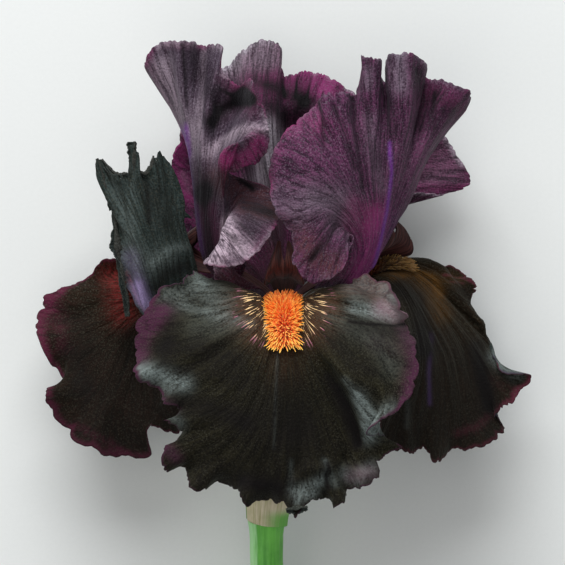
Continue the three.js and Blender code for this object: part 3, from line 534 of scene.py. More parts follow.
# ---- Materials ----
class Material:
    """A node material, with short calls for the nodes that it uses."""

    def __init__(self, name):
        self.material = bpy.data.materials.new(name)
        self.material.use_nodes = True
        self.nodes = self.material.node_tree.nodes
        self.links = self.material.node_tree.links
        self.bsdf = self.nodes["Principled BSDF"]

    def put(self, socket, value):
        if isinstance(value, bpy.types.NodeSocket):
            self.links.new(value, socket)
        elif isinstance(value, tuple) and len(value) == 3 and socket.type == "RGBA":
            socket.default_value = (*value, 1)
        else:
            socket.default_value = value

    def shader(self, **values):
        for name, value in values.items():
            self.put(self.bsdf.inputs[name.replace("_", " ")], value)

    def uv(self, across, along, shift=0.0):
        """Coordinates on the petal, stretched to so many cells each way."""
        uv = self.nodes.new("ShaderNodeUVMap")
        uv.uv_map = "petal"
        move = self.nodes.new("ShaderNodeMapping")
        move.inputs["Scale"].default_value = (across, along, 1)
        move.inputs["Location"].default_value = (shift, shift, shift)
        self.links.new(uv.outputs[0], move.inputs["Vector"])
        return move.outputs[0]

    def place(self, scale):
        """Coordinates in the frame, so many cells to a metre."""
        here = self.nodes.new("ShaderNodeTexCoord")
        move = self.nodes.new("ShaderNodeMapping")
        move.inputs["Scale"].default_value = (scale, scale, scale)
        self.links.new(here.outputs["Object"], move.inputs["Vector"])
        return move.outputs[0]

    def noise(self, vector, detail, rough):
        node = self.nodes.new("ShaderNodeTexNoise")
        self.links.new(vector, node.inputs["Vector"])
        node.inputs["Scale"].default_value = 1
        node.inputs["Detail"].default_value = detail
        node.inputs["Roughness"].default_value = rough
        return node.outputs["Fac"]

    def math(self, operation, a, b=0.0):
        """A sum of one or two values, each a number or another node's output."""
        node = self.nodes.new("ShaderNodeMath")
        node.operation = operation
        self.put(node.inputs[0], a)
        self.put(node.inputs[1], b)
        return node.outputs[0]

    def plus(self, a, b):
        return self.math("ADD", a, b)

    def times(self, a, b):
        return self.math("MULTIPLY", a, b)

    def span(self, value, low, high):
        """value from low to high as 0 to 1, clamped."""
        node = self.nodes.new("ShaderNodeMapRange")
        node.interpolation_type = "SMOOTHSTEP"
        self.put(node.inputs["Value"], value)
        node.inputs["From Min"].default_value = low
        node.inputs["From Max"].default_value = high
        return node.outputs[0]

    def veins(self, vector, detail, thin):
        """Thin branching lines, 1 on the line."""
        n = self.noise(vector, detail, 0.55)
        off = self.math("ABSOLUTE", self.math("SUBTRACT", n, 0.5))
        return self.math("SUBTRACT", 1.0, self.span(off, 0.0, thin))

    def mix(self, a, b, share):
        node = self.nodes.new("ShaderNodeMix")
        node.data_type = "RGBA"
        self.put(node.inputs["Factor"], share)
        self.put(node.inputs["A"], a)
        self.put(node.inputs["B"], b)
        return node.outputs["Result"]

    def ink(self, name):
        """The red, green and blue of a colour attribute, and its alpha."""
        attribute = self.nodes.new("ShaderNodeVertexColor")
        attribute.layer_name = name
        split = self.nodes.new("ShaderNodeSeparateColor")
        self.links.new(attribute.outputs["Color"], split.inputs[0])
        return (*split.outputs[:3], attribute.outputs["Alpha"])

    def bump(self, height, distance, strength):
        node = self.nodes.new("ShaderNodeBump")
        node.inputs["Strength"].default_value = strength
        node.inputs["Distance"].default_value = distance
        self.links.new(height, node.inputs["Height"])
        self.links.new(node.outputs[0], self.bsdf.inputs["Normal"])


SHADE = (0.004, 0.003, 0.004)
DASHES = (0.4, 0.14, 0.2), (0.9, 0.6, 0.3)  # from faint to strong, beside the front beard


def petal_material(name, look):
    """Velvet petal skin, whose two sides have grounds of their own.

    A ground in look is its deep, its light and its margin's colour. The vertices' masks say where
    the margin, the pale colour with its painted highlights and sheen, the beard's pale marks and the
    outer side are, and where the violet of midribs and of a painted mauve highlight, the warm flush and
    the painted shade are.
    """
    m = Material(name)
    margin, pale_and_highlight, marks, outer = m.ink("ink")
    purple_tint, warm, shade, _ = m.ink("tone")
    streaks = m.noise(m.uv(look["streaks"], 5), 4.0, 0.6)
    fine = m.noise(m.uv(look["streaks"] * 3.1, 16, 7), 3.0, 0.6)
    grain = m.noise(m.place(1500), 2.0, 0.65)
    speck = m.noise(m.place(2100), 1.0, 0.6)
    blotch = m.noise(m.place(90), 3.0, 0.55)
    veins = m.veins(m.uv(look["veins"], 2.4, 3), 3.0, look["thin"])
    mottle = m.plus(m.plus(m.times(streaks, 0.4), m.times(grain, 0.35)), m.times(fine, 0.25))

    def side(ground):
        deep, light, edge = look[ground]
        skin = m.mix(deep, light, m.span(mottle, 0.42, 0.62))
        # Pale parts of the skin, and painted highlights and sheen where it faces the light.
        skin = m.mix(skin, look["pale_and_highlight"], m.times(pale_and_highlight, m.span(mottle, 0.34, 0.6)))
        ragged = m.plus(mottle, m.times(margin, 0.5))
        return m.mix(skin, edge, m.times(margin, m.span(ragged, 0.45, 0.95)))

    colour = m.mix(side("inner"), side("outer"), outer)
    dark = m.times(veins, m.span(blotch, 0.25, 0.6))
    colour = m.mix(colour, look["vein"], m.times(dark, look["vein_share"]))
    colour = m.mix(colour, look["warm"], m.times(warm, m.span(fine, 0.25, 0.7)))
    # The violet of midribs; on the front fall a light mauve, partly a painted highlight.
    colour = m.mix(colour, look["purple_tint"], purple_tint)
    # Light specks in the velvet: its grain, with painted glints.
    colour = m.mix(colour, look["speck"], m.times(m.span(speck, 0.5, 0.72), look["speck_share"]))
    dash = m.plus(m.noise(m.uv(230, 15, 5), 1.0, 0.4), m.times(marks, 0.06))
    cream = m.mix(*DASHES, m.span(marks, 0.3, 0.8))
    colour = m.mix(colour, cream, m.times(m.span(dash, 0.65, 0.7), m.span(marks, 0.05, 0.3)))
    colour = m.mix(colour, SHADE, shade)
    m.shader(
        Base_Color=colour,
        Roughness=m.plus(look["rough"], m.times(grain, 0.2)),
        Sheen_Weight=look["sheen"],
        Sheen_Roughness=0.45,
        Sheen_Tint=look["tint"],
        Specular_IOR_Level=look["gloss"],
        Specular_Tint=look["glint"],
    )
    relief = m.plus(m.plus(m.times(streaks, 0.5), m.times(fine, 0.25)), m.times(grain, 0.5))
    m.bump(relief, 0.001, 0.85)
    return m.material


FALL = {
    "streaks": 95,
    "veins": 40,
    "thin": 0.045,
    "vein": (0.004, 0.003, 0.003),
    "vein_share": 0.5,
    "inner": ((0.0022, 0.0017, 0.0005), (0.0205, 0.0176, 0.0082), (0.055, 0.014, 0.036)),
    "outer": ((0.007, 0.012, 0.011), (0.03, 0.043, 0.042), (0.05, 0.04, 0.06)),
    # The teal grey of the velvet where it faces the light: a painted highlight and sheen.
    "pale_and_highlight": (0.2, 0.235, 0.225),
    "warm": (0.13, 0.045, 0.02),
    "purple_tint": (0.06, 0.03, 0.10),
    "speck": (0.078, 0.074, 0.054),
    "speck_share": 0.35,
    "rough": 0.6,
    "gloss": 0.1,
    "glint": (1.0, 0.94, 0.72),
    "sheen": 0.05,
    "tint": (0.7, 0.72, 0.58),
}
STANDARD = {
    "streaks": 80,
    "veins": 52,
    "thin": 0.045,
    "vein": (0.016, 0.005, 0.013),
    "vein_share": 0.8,
    "inner": ((0.03, 0.005, 0.018), (0.115, 0.013, 0.06), (0.16, 0.018, 0.088)),
    "outer": ((0.028, 0.008, 0.022), (0.09, 0.036, 0.068), (0.14, 0.022, 0.085)),
    # The grey of the velvet where it faces the light: a painted highlight and sheen, besides the skin's
    # own pale parts.
    "pale_and_highlight": (0.19, 0.155, 0.19),
    "warm": (0.1, 0.03, 0.035),
    "purple_tint": (0.13, 0.03, 0.2),
    "speck": (0.24, 0.2, 0.24),
    "speck_share": 0.32,
    "rough": 0.55,
    "gloss": 0.12,
    "glint": (1.0, 0.93, 0.92),
    "sheen": 0.04,
    "tint": (0.85, 0.8, 0.9),
}
LOOKS = {
    # On this fall the violet layer is a light mauve on the right shoulder's ridge: the petal's tone with a
    # painted highlight.
    "fall_front": {**FALL, "purple_tint": (0.3, 0.19, 0.225)},
    "fall_left": {
        **FALL,
        "inner": ((0.0052, 0.0026, 0.0009), (0.017, 0.0072, 0.0045), (0.085, 0.012, 0.033)),
        "warm": (0.19, 0.021, 0.021),
        "purple_tint": (0.31, 0.23, 0.42),
    },
    "fall_right": {
        **FALL,
        "inner": ((0.0052, 0.0029, 0.001), (0.0165, 0.0085, 0.0045), (0.09, 0.015, 0.03)),
        "warm": (0.16, 0.07, 0.014),
    },
    "standard_left": {
        **STANDARD,
        "inner": ((0.03, 0.005, 0.018), (0.115, 0.013, 0.06), (0.25, 0.022, 0.115)),
        "outer": ((0.028, 0.014, 0.026), (0.088, 0.062, 0.088), (0.2, 0.024, 0.1)),
        "pale_and_highlight": (0.53, 0.41, 0.475),
    },
    "standard_right": {
        **STANDARD,
        "outer": ((0.031, 0.008, 0.024), (0.134, 0.038, 0.095), (0.23, 0.03, 0.115)),
        "speck_share": 0.27,
    },
    # Its inner side and its pale are brighter than the other standards', lighting the bowl and the strip
    # where they lie deep in the flower's shade: partly painted light.
    "standard_back": {
        **STANDARD,
        "inner": ((0.036, 0.008, 0.024), (0.145, 0.022, 0.084), (0.21, 0.028, 0.115)),
        "outer": ((0.028, 0.006, 0.018), (0.08, 0.02, 0.05), (0.14, 0.018, 0.08)),
        "pale_and_highlight": (0.6, 0.54, 0.6),
        "speck_share": 0.2,
    },
}


# ---- Where each petal's colours lie, from u round it and v out along it ----
def far_out(name, v):
    """How far out v lies, about as a share of a rib's length."""
    if name.startswith("fall"):
        return np.interp(v, [0, 0.6, 0.8, 1], [0, 0.75, 0.75 + 0.25 * COLLAR, 1])
    return v


def window(x, low, high, soft):
    return smooth((x - low) / soft + 0.5) * smooth((high - x) / soft + 0.5)


def rim_of(u, v, wide):
    """A margin's colour, wide[0] at one end of the margin through to wide[-1] at the other."""
    width = np.interp(u, np.linspace(0, 1, len(wide)), wide) * (1 + 0.35 * noise(u * 23, v * 0, 3))
    return smooth((v - 1 + width) / width)


def beside_beard(x, y):
    """The pale dashes that spread from both sides of the front beard."""
    far = np.hypot(x, y + 1)
    turn = np.abs(np.degrees(np.arctan2(-(y + 1), np.abs(x))) - 22)
    return smooth((17.5 - far) / 9) * smooth((far - 4) / 1) * smooth((48 - turn) / 12)


# What each petal has of every one of LAYERS before its patches.
def tones_fall_front(u, v):
    margin = rim_of(u, v, [0.01, 0.02, 0.02, 0.01, 0.006, 0.006, 0.006, 0.006, 0.01, 0.02, 0.02, 0.01])
    warm = 0.7 * window(v, 0.1, 0.42, 0.15)
    shade = 0.5 * bell(u, 0.48, 0.22) * smooth((v - 0.55) / 0.2)
    return margin, 0 * u, 0 * u, warm, shade


def tones_fall_right(u, v):
    margin = rim_of(u, v, [0.01, 0.01, 0.01, 0.01, 0.015, 0.025, 0.03, 0.02, 0.015, 0.02])
    warm = 0.35 * window(v, 0.33, 0.55, 0.12) * window(u, 0.25, 0.7, 0.2)
    shade = 0.5 * window(u, 0.1, 0.5, 0.2) * smooth((v - 0.62) / 0.2)
    return margin, 0 * u, 0 * u, warm, shade


def tones_fall_left(u, v):
    flap = smooth((u - 0.56) / 0.04)
    margin = rim_of(u, v, [0.02, 0.03, 0.03, 0.025, 0.02, 0.008, 0.008, 0.008, 0.008, 0.008, 0.008])
    warm = 0.6 * window(v, 0.2, 0.48, 0.15) * window(u, 0.3, 0.7, 0.2)
    shade = 0.5 * window(u, 0.3, 0.56, 0.12) * window(v, 0.55, 1.1, 0.12)
    return margin * (1 - 0.9 * flap), 0 * u, 0 * u, warm, shade


def tones_standard(u, v):
    margin = 0.45 * rim_of(u, v, [0.04, 0.03, 0.02, 0.03, 0.04, 0.03, 0.04])
    # A painted highlight along the very edge, which goes to the pale layer and is taken off the margin.
    rim = 0.4 * smooth((v - 0.975) / 0.02) * smooth(noise(u * 60, 0 * u, 9) + 0.6)
    shade = 0.35 * window(v, -0.1, 0.3, 0.3)
    return np.clip(margin - rim, 0, 1), rim, 0 * u, 0 * u, shade


TONES = {
    "fall_front": tones_fall_front,
    "fall_right": tones_fall_right,
    "fall_left": tones_fall_left,
    "standard_left": tones_standard,
    "standard_right": tones_standard,
    "standard_back": tones_standard,
}

# Patches that a petal has of each layer: how much of it, the half width, and the line it lies along
# as seen from the front, x and y in mm from the throat. A last pair of numbers keeps it to that
# stretch of u, for what lies before or behind another stretch of the same petal. The layer "press"
# is a crease in mm instead, below the skin.
# The pale patches are painted highlights and sheen on ridges and on surfaces turned to the light, besides
# the skin's own pale parts; the shade patches are painted shade in folds, hollows, creases and deep in the
# flower.
LAYERS = ("margin", "pale_and_highlight", "purple_tint", "warm", "shade")
LOBE, FLAP = (0, 0.5), (0.6, 1)  # stretches of the left fall
CLAW, LEAF = (0, 0.7), (0.6, 1)  # stretches of the left standard
PATCHES = {}
PATCHES["fall_front", "margin"] = [
    (0.5, 2.4, [(-36, -29), (-32, -32)]),
    (0.9, 4, [(-37, -4), (-42, -10), (-43, -16)]),
    (0.7, 3, [(-36, -43), (-32, -47)]),
    (0.2, 4, [(-33, -3), (-38, -7)]),
    (0.9, 4.5, [(37, -9), (40, -19), (38, -29)]),
    (0.4, 2.5, [(20, -53), (25, -53)]),
]
PATCHES["fall_front", "pale_and_highlight"] = [
    (0.4, 4.5, [(-34, 1), (-25, 4), (-18, -2)]),
    (0.4, 1.6, [(-24, 5), (-27, 8)]),
    (1, 2.8, [(-43, -21), (-38, -22), (-30, -25)]),
    (0.3, 1.5, [(-43, -24), (-34, -27)]),
    (0.45, 2, [(-34, -33), (-31, -37)]),
    (0.12, 4, [(-12, -7), (-26, -8)]),
    (0.3, 1.5, [(-30, -2), (-18, -5), (-10, -7)]),
    (0.4, 1.2, [(18, -24), (24, -31), (27, -36)]),
    (0.6, 3.5, [(20, 6), (28, 5), (33, 0)]),
    (0.9, 2.3, [(21, -2), (28, -3.5), (35, -4.5)]),
    (0.6, 1.2, [(39, -8), (41.5, -16), (40, -26)]),
    (0.15, 4, [(14, -5), (28, -12), (32, -20)]),
    (1, 2.2, [(22, -29), (25, -35), (25, -41)]),
    (0.7, 3, [(33, -33), (28, -36)]),
    (1, 2, [(3, -57), (8, -56), (12, -53)]),
    (0.4, 0.8, [(2, -48), (1.5, -56)]),
    (0.7, 1.4, [(4, -60), (7, -58)]),
    (0.3, 1.2, [(14, -53), (15, -55)]),
    (0.6, 1, [(12, -48), (13, -52)]),
    (0.6, 2.2, [(18, -52), (21, -53.5), (26, -50)]),
    (0.25, 0.5, [(-2, -16), (-3, -44)]),
]
# Light mauve on the right shoulder's ridge above its crease and on a lower curl: partly painted highlight.
PATCHES["fall_front", "purple_tint"] = [
    (0.55, 2.6, [(29, -2.5), (37, -4.5)]),
    (0.13, 4, [(22, 6), (30, 4)]),
    (0.04, 4, [(28, -12), (33, -14)]),
    (0.3, 2, [(20, -52.5), (26, -51)]),
]
PATCHES["fall_front", "warm"] = [
    (0.45, 6, [(-8, -8), (-12, -2)]),
    (0.45, 6, [(8, -8), (12, -2)]),
    (0.2, 6, [(0, -14), (0, -20)]),
    (0.4, 4, [(18, 6), (28, 5)]),
    (0.3, 3, [(28, 0), (36, -5)]),
]
PATCHES["fall_front", "shade"] = [
    (0.5, 3, [(-33, -7), (-37, -15), (-36, -19)]),
    (0.55, 3.5, [(-34, -14), (-26, -14), (-14, -17)]),
    (0.4, 3.5, [(-30, -21), (-22, -21), (-12, -24)]),
    (0.55, 4, [(-32, -30), (-22, -32), (-12, -36)]),
    (0.9, 0.5, [(19, -6.4), (25, -7.4), (31, -7.6), (37, -7)]),
    (0.4, 2, [(20, -8.5), (30, -9.5), (36, -9)]),
    (0.4, 3, [(14, -12), (20, -18), (26, -22)]),
    (0.4, 9, [(0, -26), (4, -38)]),
    (0.35, 0.4, [(22, 3.5), (29, 1.5), (34, -1)]),
    (0.7, 2, [(13, -23), (18, -33), (21.5, -43)]),
    (0.8, 0.8, [(16, -26), (20, -34), (22.5, -43)]),
    (0.6, 1, [(12.5, -49), (13, -56)]),
    (0.5, 3, [(-12, -54), (-2, -56)]),
]
PATCHES["fall_front", "press"] = [
    (0.8, 1.6, [(13, -20), (19, -32), (23, -42)]),
    (0.7, 1.6, [(-22, -24), (-30, -29), (-36, -31)]),
    (0.5, 1.4, [(-20, -6), (-30, -8), (-40, -9)]),
    (0.5, 1.4, [(20, -3), (30, -6), (37, -7)]),
    (-1.2, 1.6, [(3, -54), (7, -50), (13, -50)]),
    (1.2, 1.2, [(13, -52), (15, -58)]),
    (-1, 1.8, [(19, -50), (24, -52)]),
    (0.8, 1.2, [(18, -47), (17, -56)]),
]
PATCHES["fall_right", "margin"] = [
    (0.8, 0.6, [(48, 7.5), (53, 7), (57, 5)]),
    (0.6, 0.5, [(50, 5.5), (54, 4.8)]),
    (0.3, 2.5, [(62, -24), (68, -27)]),
    (0.6, 2, [(52, -40), (58, -38), (63, -33)]),
]
PATCHES["fall_right", "pale_and_highlight"] = [
    (0.2, 0.8, [(37, -30), (36.5, -38)]),
    (0.6, 2.4, [(63, -17), (70, -22)]),
]
PATCHES["fall_right", "purple_tint"] = [
    (0.9, 0.7, [(44, -11), (43.3, -22), (43.7, -31)]),
]
PATCHES["fall_right", "warm"] = [
    (1, 1.2, [(33, 7), (39.5, 8.5), (44, 6.5), (47, 2)]),
    (0.55, 3, [(42, 5), (47, -4)]),
    (0.3, 2.5, [(46, 6), (52, 6)]),
]
PATCHES["fall_right", "shade"] = [
    (0.5, 2.5, [(52, 4), (56, 1)]),
    (0.8, 4, [(34, 4), (40, 0), (42, -14)]),
    (0.7, 3, [(58, -14), (60, -24), (62, -32)]),
]
PATCHES["fall_left", "margin"] = [
    (0.45, 4, [(-70, 2), (-68, -4), (-67, -14)], LOBE),
    (0.5, 2, [(-62, -38), (-50, -44)], LOBE),
]
PATCHES["fall_left", "pale_and_highlight"] = [
    (0.22, 2, [(-52, 40), (-47, 20)], FLAP),
    (0.15, 1.6, [(-46, 40), (-45, 20)], FLAP),
    (0.42, 4, [(-45, 14), (-41, 11), (-37, 12)], FLAP),
    (0.25, 1.8, [(-28, 16), (-34, 15), (-39, 11)], FLAP),
]
PATCHES["fall_left", "purple_tint"] = [
    (0.95, 2, [(-43.5, 4), (-42, 0), (-40.5, -2)], FLAP),
    (0.2, 2.4, [(-46, 13), (-44, 7)], FLAP),
]
PATCHES["fall_left", "warm"] = [
    (1, 4, [(-51, 7.5), (-49.5, 4), (-48, -4)], (0, 0.45)),
    (0.5, 0.7, [(-47, 8), (-44, 1), (-42, -3)], FLAP),
]
PATCHES["fall_left", "shade"] = [
    (0.4, 5, [(-62, -6), (-58, -14)], LOBE),
    (0.45, 4, [(-64, -16), (-60, -26)], LOBE),
    (0.38, 4.5, [(-38, 31), (-36, 23)], FLAP),
    (0.4, 1.2, [(-41, 36), (-40.5, 24)], FLAP),
    (0.75, 2.6, [(-30, 10), (-35, 8), (-38, 4)], FLAP),
]
PATCHES["fall_left", "press"] = [
    (0.7, 1.3, [(-40, 37), (-40, 20), (-38, 8)], FLAP),
    (0.5, 1.2, [(-49, 34), (-46, 12)], FLAP),
    (-0.5, 1.2, [(-27, 15), (-34, 15), (-39, 10)], FLAP),
]
PATCHES["standard_left", "margin"] = [
    (0.3, 2, [(-41, 74), (-35, 59), (-31, 51)]),
    (0.3, 2, [(-36, 77), (-26, 76)]),
    (1, 4, [(-24, 27), (-23, 20), (-22, 12)], CLAW),
    (0.3, 4, [(-20, 56), (-14, 58), (-10, 57)]),
    (0.55, 3, [(-13, 65), (-10, 62)]),
    (0.2, 3, [(-10, 61), (-8, 56)]),
    (1, 3.5, [(-18, 42), (-13, 41), (-9, 44), (-8, 47)], (0.45, 0.85)),
    (0.35, 3, [(-19, 66), (-14, 62)]),
    (0.35, 3, [(-4, 22), (-8, 15)], LEAF),
    (0.25, 6, [(-17, 12), (-14, 20)], LEAF),
]
PATCHES["standard_left", "pale_and_highlight"] = [
    (0.38, 3.2, [(-37, 70), (-34, 60), (-30, 50)]),
    (0.3, 2.6, [(-25, 58), (-26, 46), (-22, 44)]),
    (0.22, 0.8, [(-24, 75), (-25, 62), (-25.5, 52)]),
    (-0.8, 4.5, [(-25, 33), (-23, 20), (-22, 12)], CLAW),
    (-0.6, 2, [(-12, 63), (-9.5, 60)]),
    (-1, 3.6, [(-21, 55), (-16, 58.5), (-9, 61)]),
    (0.5, 1.7, [(-20, 46), (-14, 50), (-9, 51.5), (-5, 51)]),
    (0.3, 0.6, [(-8.5, 60), (-6, 55), (-5, 51)]),
    (-0.4, 3, [(-19, 65), (-14, 62)]),
    (0.5, 0.4, [(-20, 68), (-15, 66), (-12, 64.5)]),
    (0.45, 0.4, [(-19, 60), (-15, 62), (-12, 64.5)]),
    (0.75, 3.2, [(-18, 19), (-14, 16), (-11, 15)], LEAF),
    (-0.9, 3, [(-12, 28), (-4, 27)], LEAF),
    (1, 3, [(-21, 12), (-17, 17), (-17, 23)], LEAF),
]
PATCHES["standard_left", "purple_tint"] = [
    (0.8, 0.9, [(-29.8, 52), (-28.8, 40), (-26, 26), (-24, 14)]),
]
# The first lightens the petal's foot, down in the throat's shade: partly painted light.
PATCHES["standard_left", "warm"] = [
    (1, 4, [(-18, 6), (-6, 6)]),
    (0.9, 4.5, [(-20, 36), (-12, 33), (-3, 29)]),
    (1, 3, [(-12, 28), (-4, 27)], LEAF),
]
PATCHES["standard_left", "shade"] = [
    (0.4, 3, [(-25, 72), (-24, 62)]),
    (0.62, 0.7, [(-30.5, 77), (-29.5, 66), (-29, 58)]),
    (0.3, 2.4, [(-28.5, 75), (-27.8, 67)]),
    (0.96, 4.5, [(-24, 31), (-22, 12)], CLAW),
    (0.45, 3, [(-24.5, 38), (-24, 33)], CLAW),
    (-0.3, 4, [(-18, 6), (-6, 6)]),
    (0.85, 2.2, [(-12, 63), (-9, 60)]),
    (0.3, 2.4, [(-9, 59), (-8, 56)]),
    (0.9, 2.6, [(-22, 53.5), (-18, 57.5), (-14, 59.5), (-11, 60)]),
    (0.5, 0.6, [(-19.5, 63.5), (-16, 61.5), (-13, 61)]),
    (0.4, 1.6, [(-21, 62), (-20.5, 56), (-22, 50)]),
    (0.45, 2.6, [(-19, 65), (-14, 61)]),
    (0.8, 1.1, [(-14, 37), (-9.5, 33.5)], (0.45, 1)),
    (0.4, 3.5, [(-20, 36), (-12, 32), (-4, 28)]),
    (0.45, 3, [(-11, 23), (-7, 21)], LEAF),
    (0.6, 2.6, [(-12, 28), (-4, 26)], LEAF),
    (0.5, 0.5, [(-18, 21), (-14, 17), (-12, 14)], LEAF),
    (0.4, 0.5, [(-15, 24), (-9, 19)], LEAF),
]
PATCHES["standard_left", "press"] = [
    (0.8, 1.2, [(-30.5, 77), (-29.5, 66), (-29, 56), (-28, 44)]),
    (1.2, 2, [(-21, 61), (-19, 57), (-12, 58)]),
    (-0.6, 1, [(-20, 46), (-14, 50), (-9, 51.5), (-5, 51)]),
    (0.5, 0.8, [(-36, 74), (-33, 62), (-30, 52)]),
    (0.4, 0.8, [(-24, 75), (-25, 62), (-25.5, 50)]),
    (0.5, 1, [(-18, 21), (-14, 17), (-12, 14)], LEAF),
    (0.4, 0.8, [(-14, 24), (-8, 19)], LEAF),
    (0.4, 0.7, [(-20, 14), (-18, 10)], LEAF),
]
PATCHES["standard_right", "margin"] = [
    (0.45, 4, [(1, 52), (7, 56), (10, 53)]),
    (0.35, 3, [(-3, 47), (-4, 38), (-4, 34)]),
    (0.2, 6, [(4, 46), (14, 50), (20, 52)]),
    (0.15, 6, [(12, 24), (22, 27), (27, 34)]),
    (0.45, 4, [(44, 63), (52, 59), (54, 56)]),
    (0.25, 5, [(42, 58), (41, 50), (37, 38)]),
    (1, 4.5, [(27, 25), (25, 14), (22, 7)]),
    (0.4, 3, [(20, 30), (19, 22)]),
]
PATCHES["standard_right", "pale_and_highlight"] = [
    (0.65, 5, [(9, 30), (17, 29), (17, 25)]),
    (0.4, 4, [(-2, 32), (4, 24)]),
    (0.7, 3, [(34, 73), (35, 64)]),
    (0.35, 2.2, [(25.5, 54), (26.5, 44), (29, 34)]),
    (0.5, 1.5, [(25, 69), (25, 64)]),
    (0.1, 5, [(40, 48), (36, 38)]),
    (-0.3, 3, [(8, 14), (18, 12)]),
    (0.4, 0.5, [(19, 20), (18.5, 15), (16, 10), (11, 7)]),
]
PATCHES["standard_right", "purple_tint"] = [
    (0.15, 4, [(29, 24), (26, 14), (23, 7)]),
    (0.9, 0.55, [(31.6, 47), (32, 38), (30.6, 27), (28.6, 18), (26.5, 10)]),
]
PATCHES["standard_right", "warm"] = [
    (0.95, 4.5, [(6, 17), (10, 12), (14, 10)]),
]
PATCHES["standard_right", "shade"] = [
    (0.5, 2.6, [(32, 58), (33, 50)]),
    (0.5, 1.6, [(-4, 43), (-4.5, 36)]),
    (0.5, 4, [(46, 61), (51, 57)]),
    (-0.8, 4, [(27, 22), (23, 7)]),
    (0.85, 3, [(3, 2), (16, 3)]),
    (0.6, 0.8, [(10.6, 60), (12.5, 46)]),
    (0.6, 0.9, [(15, 58), (19, 48), (21.5, 39)]),
    (0.6, 1, [(20.5, 61), (21.5, 52), (23, 42), (24, 33)]),
    (0.4, 1.6, [(24.5, 59), (25.5, 50), (27, 40)]),
    (0.65, 2, [(40.5, 68), (41, 58), (40.5, 52)]),
    (0.5, 1.2, [(45, 62), (44.5, 52)]),
    (0.6, 1.2, [(8, 12), (13, 18), (16, 23)]),
    (0.3, 4, [(7, 15), (13, 12), (17, 14)]),
]
PATCHES["standard_right", "press"] = [
    (0.7, 0.9, [(10.6, 60), (12.5, 46)]),
    (0.8, 1.1, [(15, 58), (19, 48), (21.5, 39)]),
    (0.9, 1.2, [(20.5, 61), (21.5, 52), (23, 42), (24, 33)]),
    (0.8, 1.5, [(40.5, 68), (41, 58), (40, 48)]),
    (-0.5, 0.9, [(32, 44), (31.6, 34), (29, 20), (26.5, 10)]),
    (0.6, 1.2, [(8, 12), (13, 19), (17, 26)]),
]
PATCHES["standard_back", "margin"] = [
    (-1, 6, [(-16, 74), (-4, 76)]),
    (0.8, 6, [(-6, 66), (4, 66), (12, 64)]),
    (-1, 3, [(-6, 58), (-3, 50), (-6, 42), (-7, 36)]),
    (0.5, 1.4, [(41, 33), (48, 32.8), (55, 34)]),
    (0.9, 3, [(-31, 48), (-32, 38), (-29, 31)]),
]
# The first two patches grey the upper peak, which faces up to the light: painted sheen.
PATCHES["standard_back", "pale_and_highlight"] = [
    (0.33, 6, [(-18, 71), (-12, 75), (-6, 74)]),
    (0.2, 3, [(-18, 70), (-14, 71)]),
    (1, 3.6, [(-5, 52), (-3, 48), (-5, 42), (-7, 36)]),
    (0.2, 2, [(-3, 25), (-3, 18)]),
    (0.1, 5, [(46, 44), (50, 39), (44, 38)]),
    (0.4, 1.2, [(-31, 38), (-29, 33)]),
]
# The first lightens a spot deep in shade between the standards: partly painted light.
PATCHES["standard_back", "warm"] = [
    (0.7, 3, [(-3, 25), (-3, 15)]),
    (0.7, 6, [(-18, 7), (-4, 6), (14, 7)]),
]
PATCHES["standard_back", "shade"] = [
    (0.3, 6, [(-12, 76), (-6, 74)]),
    (0.55, 4, [(-5, 65), (3, 64), (5, 63.5)]),
    (0.8, 3, [(-4, 58), (0, 55), (6, 58)]),
    (0.4, 2, [(-9, 66), (2, 61), (8, 60)]),
    (0.5, 1.3, [(-10.5, 44), (-9.5, 36), (-7, 33)]),
    (0.4, 7, [(-20, 7), (-4, 6), (16, 8)]),
    (0.25, 3, [(50, 35), (56, 37)]),
    (0.5, 0.5, [(4, 67), (3.5, 61)]),
    (0.5, 0.5, [(8, 67), (6.5, 60)]),
    (0.4, 0.5, [(0, 67), (0.5, 61)]),
]
PATCHES["standard_back", "press"] = [
    (0.5, 0.8, [(4, 68), (3.5, 60)]),
    (0.5, 0.8, [(8, 68), (6.5, 60)]),
    (0.5, 0.8, [(0, 68), (0.5, 60)]),
    (0.5, 0.8, [(12, 66), (9, 60)]),
]


def along(name, layer, u, x, y):
    """How much of a layer the patches of a petal bring."""
    total = 0 * x
    for share, wide, line, *keep in PATCHES.get((name, layer), []):
        near = np.full(np.shape(x), 1e9)
        for (x0, y0), (x1, y1) in zip(line, line[1:]):
            span = (x1 - x0) ** 2 + (y1 - y0) ** 2
            t = np.clip(((x - x0) * (x1 - x0) + (y - y0) * (y1 - y0)) / span, 0, 1)
            near = np.minimum(near, np.hypot(x - x0 - t * (x1 - x0), y - y0 - t * (y1 - y0)))
        part = share * np.exp(-((near / wide) ** 2))
        total = total + (part * window(u, *keep[0], 0.03) if keep else part)
    return total


# How finely each petal's margin is cut and crimped beyond its solid: scallops round it, their
# depth, and the crimps' height, in mm.
TRIM = {
    "fall_front": (34, 1.5, 0.8),
    "fall_right": (26, 1.3, 0.8),
    "fall_left": (30, 1.3, 0.8),
    "standard_left": (24, 0.9, 0.6),
    "standard_right": (34, 0.9, 0.7),
    "standard_back": (28, 0.9, 0.8),
}
PETAL_GRID = (430, 100)  # faces round a petal and out along it


